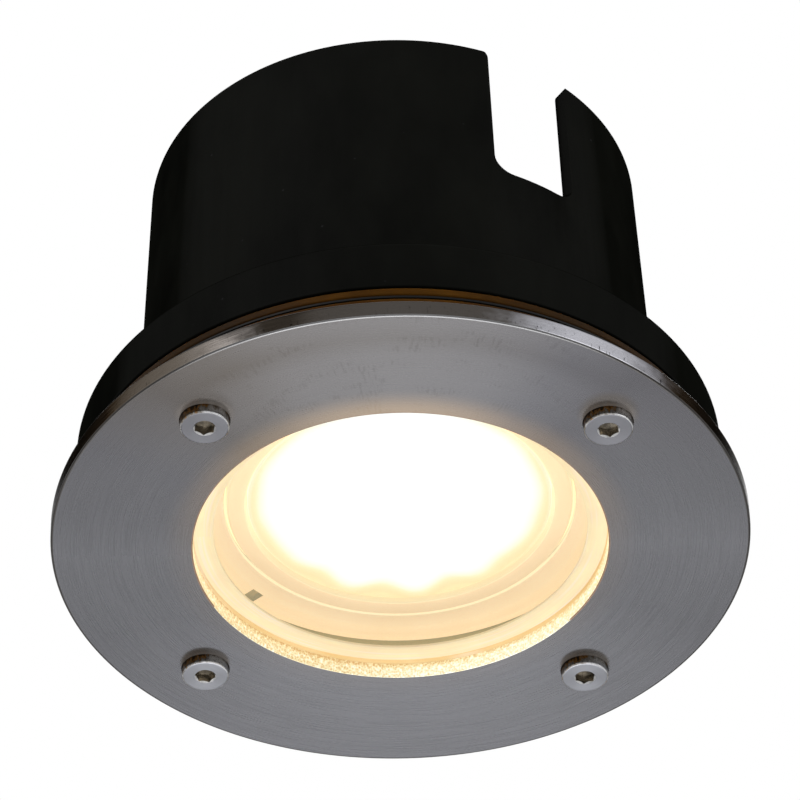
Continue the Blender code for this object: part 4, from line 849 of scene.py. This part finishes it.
def make_bezel():
    corners = [
        (70.5, -0.2), (70.5, 0), (BEZEL_RADIUS, 0, 0.5), (BEZEL_RADIUS, BEZEL_FRONT, 0.4),
        (OPENING, BEZEL_FRONT, 0.2), (OPENING, -0.2, 0.3),
    ]
    step = [(0, 1), (SCREW_HOLE, 1), (SCREW_HOLE, -1.8), (5.35, -1.8), (5.35, -5), (0, -5)]
    bezel = at_screws(turned("brushed_bezel", corners, 256), step, 64)

    def choose(radius, centre, normal):
        if radius > BEZEL_RADIUS - 0.6 and abs(normal.z) < 0.25:
            return BEZEL_RIM
        if radius > BEZEL_RADIUS - 0.6 and centre.z < -2:
            return BEZEL_EDGE
        # The opening's front edge, except on the far side, gets a painted warm reflection of the lamp's light.
        if radius < OPENING + 0.3 and centre.z < BEZEL_FRONT + 0.14 and centre.y < 22 + 0.1 * centre.x:
            return OPENING_EDGE
        return CUT_WALL if radius < OPENING + 0.18 and centre.z < -0.3 else BEZEL_FACE

    painted(bezel, BEZEL_FACE, BEZEL_EDGE, BEZEL_RIM, CUT_WALL, OPENING_EDGE, choose=choose)
    dress(bezel, "trim", "bezel_ring")


def make_screws():
    def choose(radius, centre, normal):
        if centre.z > -2.15:
            return SCREW_SHANK
        if centre.z < HEAD_FRONT + 0.05 and normal.z < -0.95:
            return SCREW_FACE
        if radius < 2.5 and centre.z < -5.7 and normal.z < -0.3:
            return SOCKET_EDGE
        return SCREW_SOCKET if radius < 2.4 and centre.z < -3 else SCREW_WALL

    for number, turn in zip(SCREWS, SOCKET_TURNS):
        corners = [
            (0, -2.1), (HEAD_RADIUS - 0.1, -2.1), (HEAD_RADIUS, -2.2), (HEAD_RADIUS, HEAD_FRONT, 0.35),
            (0, HEAD_FRONT),
        ]
        head = turned("screw_head", corners, 96, 4)
        combined(head, prism("socket", hexagon(4, math.radians(turn)), -6.5, -3.9))
        combined(head, turned("socket_mouth", [(0, -6.5), (2.8, -6.5), (1.9, -5.7), (0, -5.7)], 96, 1))
        combined(head, turned("socket_floor", [(0, -3.2), (1.9, -3.95), (1.9, -4.3), (0, -4.3)], 48, 1))
        sizes = {"Radius": 3 * MM, "Length": 20.2 * MM, "Pitch": 1 * MM, "Depth": 0.5 * MM}
        shank = thread("screw_shank", 7.8, **sizes, Sides=36, Rings=150)
        screw = joined("socket_screw_%d" % number, head, shank)
        # The side attribute weights the painted highlight on the head's wall towards one azimuth.
        side = screw.data.attributes.new("side", "FLOAT", "POINT")
        for vertex, value in zip(screw.data.vertices, side.data):
            azimuth = math.atan2(vertex.co.y, vertex.co.x)
            value.value = max(0, math.cos(azimuth - PAINTED_HIGHLIGHT_SIDE)) ** 4
        painted(screw, SCREW_FACE, SCREW_WALL, SCREW_SOCKET, SOCKET_EDGE, SCREW_SHANK, choose=choose)
        moved(screw, *screw_spot(number))
        dress(screw, "screw_%d" % number, "bezel_screw_%d" % number)


def make_seals():
    corners = [
        (69.8, 5.3, 0.3), (69.8, 0, 0.3), (45, 0, 0.15), (45, 0.9), (44.6, 0.78, 0.1), (44.1, 0.9),
        (41.4, 0.95), (41, 0.82, 0.1), (40.2, 0.82, 0.2), (40.2, 1.5, 0.2), (51.7, 1.5), (51.7, 4.9),
        (49.2, 4.9, 0.15), (49.2, 5.3, 0.15),
    ]
    gasket = at_screws(turned("glass_seal", corners, 192, 4), rod(SCREW_HOLE, -1, 6))

    def choose(radius, centre, normal):
        # The same silicone: lit with a painted glow round the lip, painted shade on the step and the faces
        # behind the bezel, and darker painted shade outside the glass.
        if radius > 51:
            return SHADED_SILICONE
        return SHADED_SILICONE_STEP if radius > 44.55 and centre.z < 0.95 else LIT_SILICONE

    painted(gasket, LIT_SILICONE, SHADED_SILICONE_STEP, SHADED_SILICONE, choose=choose)
    dress(gasket, "trim", "glass_gasket")
    corners = [(69.8, 8.3, 0.5), (69.8, 6.3, 0.5), (50.2, 6.3, 0.3), (50.2, 8.3, 0.3)]
    flange = at_screws(turned("flange_seal", corners, 192, 4), rod(SCREW_HOLE, 6, 9))
    dress(painted(flange, SHADED_SILICONE), "insert", "flange_gasket")


def make_glass():
    glass = turned("front_glass", rod(51.5, 1.7, 4.7, 0.4, 0.4), 192, 3)
    dress(painted(glass, clear_glass()), "trim", "glass_disc")


def make_housing():
    corners = [
        (10.2, 66), (48.9, 66, 3), (48.9, 6.1, 0.6), (69.8, 6.1, 0.12), (69.8, 5.5, 0.12), (48.3, 5.5, 1.2),
        (48.3, 65.4, 2.4), (10.2, 65.4),
    ]
    housing = at_screws(turned("drawn_housing", corners, 192, 6), rod(SCREW_HOLE, 5, 7))

    def choose(radius, centre, normal):
        inwards = normal.z < -0.3 or normal.xy.dot(centre.xy) < 0
        return HOUSING_INSIDE if radius < 48.6 and centre.z < 65.7 and inwards else BLACK_ENAMEL

    painted(housing, BLACK_ENAMEL, HOUSING_INSIDE, choose=choose)
    dress(housing, "insert", "lamp_housing")


def make_canister():
    corners = [
        (54.85, 96, 0.8), (57.3, 21, 1), (70, 21, 1), (70, 8.5, 0.35), (67, 8.5, 0.2),
        (67, 18, 0.8), (57.3, 18, 0.8), (57.3, 8.5, 0.2), (54, 8.5, 0.3), (51.55, 96, 0.6),
    ]
    canister = turned("moulded_canister", corners, 192, 4)
    at_screws(canister, rod(6.8, 8.5, 19), 48, "UNION")
    ribs, corners = 8, [(55.8, -1), (68.5, -1), (68.5, 1), (55.8, 1)]
    rib = prism("rib", corners, 10, 19, about_z(SCREW_AZIMUTH + math.pi / ribs))
    combined(canister, repeated(rib, ribs), "UNION")
    at_screws(canister, rod(4.7, 8, 18.4), 48)
    side = [(17.9, 97), (10.1, 96, 2.6), (10.1, 58.8, 4.5)]
    mirrored = [(-corner[0], *corner[1:]) for corner in reversed(side)]
    points = [(point.x, point.y) for point in outline(side + mirrored, 8)]
    upright = Matrix.Rotation(math.pi / 2, 4, "X")
    combined(canister, prism("cable_slots", points, -72, 72, about_z(SLOT_AZIMUTH + math.pi / 2) @ upright))
    bevel = canister.modifiers.new("slot_edges", "BEVEL")
    bevel.width = 0.35 * MM
    bevel.segments = 2
    bevel.limit_method = "ANGLE"
    bevel.angle_limit = math.radians(60)
    dress(painted(settled(canister), canister_black()), "canister", "mounting_canister")


def make_inserts():
    wall = [(4.4, 17.6 - 0.4 * step) for step in range(22)]
    corners = [(SCREW_HOLE, 17.8), (4.2, 17.8), *wall, (4.2, 8.8), (SCREW_HOLE, 8.8)]
    sizes = {"Depth": 0.22 * MM, "Wall": 4.25 * MM, "Low": 9.4 * MM, "High": 17.4 * MM, "Slant": 300.0}
    for number in SCREWS:
        insert = grown(turned("brass_insert_%d" % number, corners, 240, 1), KNURLED, Count=40, **sizes)
        moved(painted(insert, BRASS), *screw_spot(number))
        dress(insert, "canister", "thread_insert_%d" % number)


def make_surround():
    corners = [
        (47.3, 45, 0.2), (47.3, 9.5, 0.8), (38, 9.5, 0.5), (38, 11, 0.3), (45.8, 11, 0.3), (45.8, 45, 0.2),
    ]
    surround = turned("lamp_ring", corners, 192, 5)
    for azimuth, near, far, wide in ((WINDOW_AZIMUTH, 42.5, 45.6, 3.1), (NOTCH_AZIMUTH, 44, 45.6, 1)):
        half = wide / 2
        opening = [(near, -half), (far, -half), (far, half), (near, half)]
        combined(surround, prism("opening", opening, 8.5, 12, about_z(azimuth)))

    def choose(radius, centre, normal):
        if radius < 38.1 and centre.z < 10.4:
            return LIT_LINE
        in_opening = 42.4 < radius < 45.7 and abs(normal.z) < 0.1
        return LIT_RING_SHADE if centre.z > 10.4 or in_opening else LIT_RING

    painted(surround, LIT_RING, LIT_RING_SHADE, LIT_LINE, choose=choose)
    dress(surround, "insert", "lamp_surround")


def make_lamp():
    corners = [
        (0, 39), (18, 39, 1), (18, 31, 0.4), (37.5, 31, 1.2), (37.5, 9.5, 0.6), (33.3, 9.5, 0.3),
        (33.3, 13, 0.2), (31.3, 13, 0.2), (31.3, 14.8), (36, 14.8), (36, 29.5), (16.5, 29.5), (16.5, 37.5),
        (0, 37.5),
    ]
    case = turned("lamp_body", corners, 160, 5)
    combined(case, repeated(turned("pin_hole", rod(1.8, 28.5, 32), 24, 1, (26.5, 0)), 2))

    def choose(radius, centre, normal):
        if centre.z > 26:
            return WHITE_MOULDING
        if radius > 37.3 and centre.z < 10.4:
            return LIT_LINE
        return LIT_EDGE if radius < 33.6 and centre.z < 13.2 else LIT_RIM

    painted(case, LIT_RIM, LIT_LINE, LIT_EDGE, WHITE_MOULDING, choose=choose)
    dress(case, "lamp", "lamp_case")
    disc = turned("opal_disc", rod(33, 10.5, 12.7, 0.6, 0.2), 160, 4)
    dress(painted(disc, lit_opal()), "lamp", "lamp_diffuser")


def make_gland():
    body = bevelled_hexagon("gland_hex", 24, (12.6, 74.1), (13.9, 73.4), (13.9, 68.8), (12.6, 68.1))
    combined(body, turned("gland_neck", rod(9.5, 73, 80.1, 0, 0.4), 96, 3), "UNION")
    sizes = {"Radius": 9.9 * MM, "Length": 11.6 * MM, "Pitch": 1.5 * MM, "Depth": 0.7 * MM}
    combined(body, thread("gland_thread", 63.3, **sizes, Sides=96, Rings=64), "UNION")
    hollow = [(0, 81), (7.6, 81), (7.6, 72.1), (6.2, 71.6), (6.2, 57), (0, 57)]
    combined(body, turned("gland_bore", hollow, 96, 1))
    body.name = "cable_gland"
    dress(painted(body, NICKEL), "insert", "gland_body")
    corners = [(13.5, 67.8, 0.4), (13.5, 66.3, 0.4), (10.2, 66.3, 0.2), (10.2, 67.8, 0.2)]
    washer = turned("sealing_washer", corners, 96, 4)
    dress(painted(washer, BLACK_RUBBER), "insert", "gland_washer")
    corners = [(7.3, 80.9, 0.6), (7.3, 72.4, 0.3), (4, 72.4, 0.5), (4, 80.9, 0.8)]
    seal = turned("cable_seal", corners, 96, 4)
    dress(painted(seal, BLACK_RUBBER), "insert", "gland_insert")
    nut = bevelled_hexagon("gland_cap", 23.5, (12.4, 82.4), (13.6, 81.8), (13.6, 75.1), (12.3, 74.4))
    combined(nut, turned("cap_dome", rod(11, 81, 88.4, 0, 5), 96, 10), "UNION")
    hollow = [(0, 90), (5.5, 90), (5.2, 88.1), (5.2, 87), (9.8, 82.4), (9.8, 73.5), (0, 73.5)]
    combined(nut, turned("cap_hollow", hollow, 96, 1))
    dress(painted(nut, NICKEL), "gland_nut", "gland_nut")


def dress_the_rest():
    """Finishes for the pieces inside, which keep their CAD shapes."""
    finishes = {
        "led_board": board("led_board_white", (0.8, 0.8, 0.77), (0.62, 0.6, 0.5)),
        "lamp_heat_sink": plated("pressed_aluminium", (0.62, 0.63, 0.65), 0.34, 0.08, 260),
        "driver_board": board("driver_board_green", (0.012, 0.12, 0.035), (0.03, 0.24, 0.07)),
        "capacitor": moulded(
            "capacitor_sleeve", (0.012, 0.012, 0.016), 0.28, 0.2, 700, 0.02, Coat_Weight=0.4
        ),
        "coil": wound_tape(),
        "lamp_pin": NICKEL,
        "lamp_holder": moulded("holder_ceramic", (0.7, 0.66, 0.54), 0.5, 0.08, 1200, 0.03),
        "holder_contact": plated("bronze_strip", (0.52, 0.27, 0.11), 0.3, 0.2, 500),
        "mounting_plate": plated("zinc_plate", (0.42, 0.42, 0.4), 0.34, 0.18, 200),
        "plate_pillar": BRASS,
        "terminal_block": moulded("block_moulding", (0.66, 0.62, 0.5), 0.42, 0.08, 1000, 0.03),
        "terminal_clamp": BRASS,
        "earth_tag": plated("tinned_copper", (0.58, 0.56, 0.54), 0.26, 0.12, 500),
        "live_lead": insulation("brown_lead", (0.16, 0.055, 0.02)),
        "neutral_lead": insulation("blue_lead", (0.015, 0.07, 0.33)),
        "earth_lead": insulation("green_and_yellow_lead", (0.06, 0.25, 0.03), (0.75, 0.62, 0.03)),
        "gland_locknut": NICKEL,
    }
    screws = plated("zinc_screw", (0.5, 0.5, 0.52), 0.28, 0.14, 700)
    for name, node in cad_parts.items():
        if node.hide_render:
            continue
        stem = name.rstrip("0123456789").rstrip("_")
        node.data.materials.clear()
        node.data.materials.append(finishes.get(stem, screws))


# Studio

def make_studio():
    """A pale floor, soft lamps, and a white surround for the camera, for gloss and through glass."""
    scene = bpy.context.scene
    mesh = bpy.data.meshes.new("floor")
    half, height = 20, -1.6
    corners = [(-half, -half, height), (half, -half, height), (half, half, height), (-half, half, height)]
    mesh.from_pydata(corners, [], [range(4)])
    floor = link("floor", mesh)
    material, tree, shader = finish("pale_floor", (0.8, 0.8, 0.8), 0.9, 0.1)
    cloud = grain(tree, 0.8, 2, 0.5)
    wire(shader, Base_Color=tone(cloud, (0.79, 0.79, 0.79), (0.82, 0.82, 0.82)))
    mesh.materials.append(material)
    world = bpy.data.worlds.new("studio")
    scene.world = world
    world.use_nodes = True
    tree = world.node_tree
    path = add(tree, "ShaderNodeLightPath").outputs
    seen = sums("MAXIMUM", path["Is Camera Ray"], path["Is Glossy Ray"])
    seen = sums("MAXIMUM", seen, path["Is Transmission Ray"])
    strength = ranged(seen, 0, 1, 0.62, 1)
    wire(tree.nodes["Background"], Color=(1, 1, 1), Strength=strength)
    for name, where, size, power in (
        ("key_lamp", (-0.95, -1.05, 0.75), 0.9, 7),
        ("fill_lamp", (1.25, -0.7, 0.35), 0.9, 5),
        ("low_lamp", (-0.05, 0.62, -1.2), 0.9, 9),
        ("back_lamp", (0.3, 1.2, 1), 1, 6),
    ):
        light = bpy.data.lights.new(name, "AREA")
        light.energy = power
        light.size = size
        lamp = link(name, light)
        lamp.location = where
        lamp.rotation_euler = Vector(where).to_track_quat("Z", "Y").to_euler()
    scene.view_settings.view_transform = "Standard"


def make_camera():
    """The camera that was fitted to the photograph's circles: below the bezel, looking up at it."""
    pitch, roll = math.radians(41.07), math.radians(-1.42)
    photo_width, focal_length, sensor = 800, 4720.2, 36
    beside, above, ahead = 0.0024, -0.4273, 13.4943
    forward = Vector((0, math.cos(pitch), math.sin(pitch)))
    right, up = Vector((1, 0, 0)), Vector((0, -math.sin(pitch), math.cos(pitch)))
    tilted_right = math.cos(roll) * right + math.sin(roll) * up
    tilted_up = math.cos(roll) * up - math.sin(roll) * right
    bezel = beside * tilted_right + above * tilted_up + ahead * forward
    eye = Vector((0, 0, BEZEL_FRONT * MM)) - BEZEL_RADIUS * MM * bezel
    lens = bpy.data.cameras.new("camera")
    lens.lens = focal_length / photo_width * sensor
    lens.sensor_width = sensor
    lens.clip_start = 0.01
    lens.clip_end = 100
    camera = link("camera", lens)
    turn = Matrix((tilted_right, tilted_up, -forward)).transposed()
    camera.matrix_world = Matrix.Translation(eye) @ turn.to_4x4()
    bpy.context.scene.camera = camera


ROUND_THE_AXIS = round_the_axis()
THREADED_ROD = threaded_rod()
KNURLED = knurled()
BEZEL_FACE = brushed_steel("bezel_face", (0.158, 0.159, 0.171), 0.015, 0.44, glow=0.22)
BEZEL_EDGE = broken_edge("bezel_edge", (0.06, 0.057, 0.055), (0.24, 0.24, 0.245))
# The rim's colours are its painted shade and its painted highlight on either side.
BEZEL_RIM = turned_edge("bezel_rim", (0.012, 0.01, 0.008), (0.15, 0.13, 0.11), (0.46, 0.46, 0.5))
# Golden colour for the cut wall: painted reflection of the lamp's light.
CUT_WALL = cut_wall("bezel_cut_wall", (0.95, 0.66, 0.28), 0.6)
# Warm brown steel for the opening's front edge: a painted reflection of the lamp's light.
OPENING_EDGE = plated("opening_edge", (0.3, 0.19, 0.13), 0.3, 0.12, 1500)
SCREW_FACE = brushed_steel("screw_face", (0.245, 0.25, 0.272), 0.02, 0.46, 0.3, 0.3)
SCREW_WALL = head_wall()
SCREW_SHANK = plated("screw_shank", (0.5, 0.5, 0.51), 0.24, 0.1, 700)
# Paler and browner than the head's steel: painted light inside the socket.
SCREW_SOCKET = plated("screw_socket", (0.62, 0.57, 0.49), 0.16, 0.42, 700)
# White steel round the socket's mouth: painted glints.
SOCKET_EDGE = plated("socket_edge", (1, 1, 1), 0.22, 0.3, 900)
BRASS = plated("turned_brass", (0.62, 0.4, 0.13), 0.24, 0.14, 700)
NICKEL = plated("nickel_plate", (0.46, 0.44, 0.4), 0.22, 0.1, 500)
# One silicone in three copies by the light on it: lit with a painted glow, painted shade with less glow, and
# darker painted shade without glow.
LIT_SILICONE = silicone("pale_silicone", (1, 0.86, 0.52), (0.96, 0.77, 0.49), 0.78, 0.45)
SHADED_SILICONE_STEP = silicone("amber_line", (0.9, 0.66, 0.34), (0.82, 0.57, 0.25), 0.75, 0.45)
SHADED_SILICONE = silicone("amber_silicone", (0.082, 0.033, 0.003), (0.045, 0.017, 0.002), gloss=0.02)
BLACK_ENAMEL = moulded("black_enamel", (0.006, 0.006, 0.006), 0.4, 0.3, 900, 0.02, gloss=0.08)
HOUSING_INSIDE = deep_moulding("housing_inside", (0.35, 0.31, 0.19), (1, 0.86, 0.55), 0.5)
WHITE_MOULDING = moulded("white_moulding", (0.68, 0.66, 0.61), 0.42, 0.06, 1400, 0.02)
BLACK_RUBBER = moulded("black_rubber", (0.012, 0.012, 0.012), 0.6, 0.3, 1300, 0.04, gloss=0.3)
LIT_RING = lit_moulding("lit_ring", (1, 0.74, 0.445), (0.95, 0.68, 0.385), 0.96, 1.06, (38.3, 41.5, 0.87))
LIT_RING_SHADE = deep_moulding("lit_ring_shade", (0.37, 0.35, 0.25), (1, 0.86, 0.55), 0.3)
LIT_RIM = lit_moulding("lit_rim", (1, 0.73, 0.43), (0.95, 0.67, 0.375), 0.78, 1.28, (33.4, 35, 1.08))
LIT_LINE = lit_moulding("lit_line", (1, 0.88, 0.57), (1, 0.84, 0.51), 0.91, 0.8)
LIT_EDGE = lit_moulding("lit_edge", (1, 0.81, 0.49), (1, 0.78, 0.45), 0.86, 1.4)

make_camera()
make_bezel()
make_screws()
make_seals()
make_glass()
make_housing()
make_canister()
make_inserts()
make_surround()
make_lamp()
make_gland()
dress_the_rest()
make_studio()
bpy.context.view_layer.update()
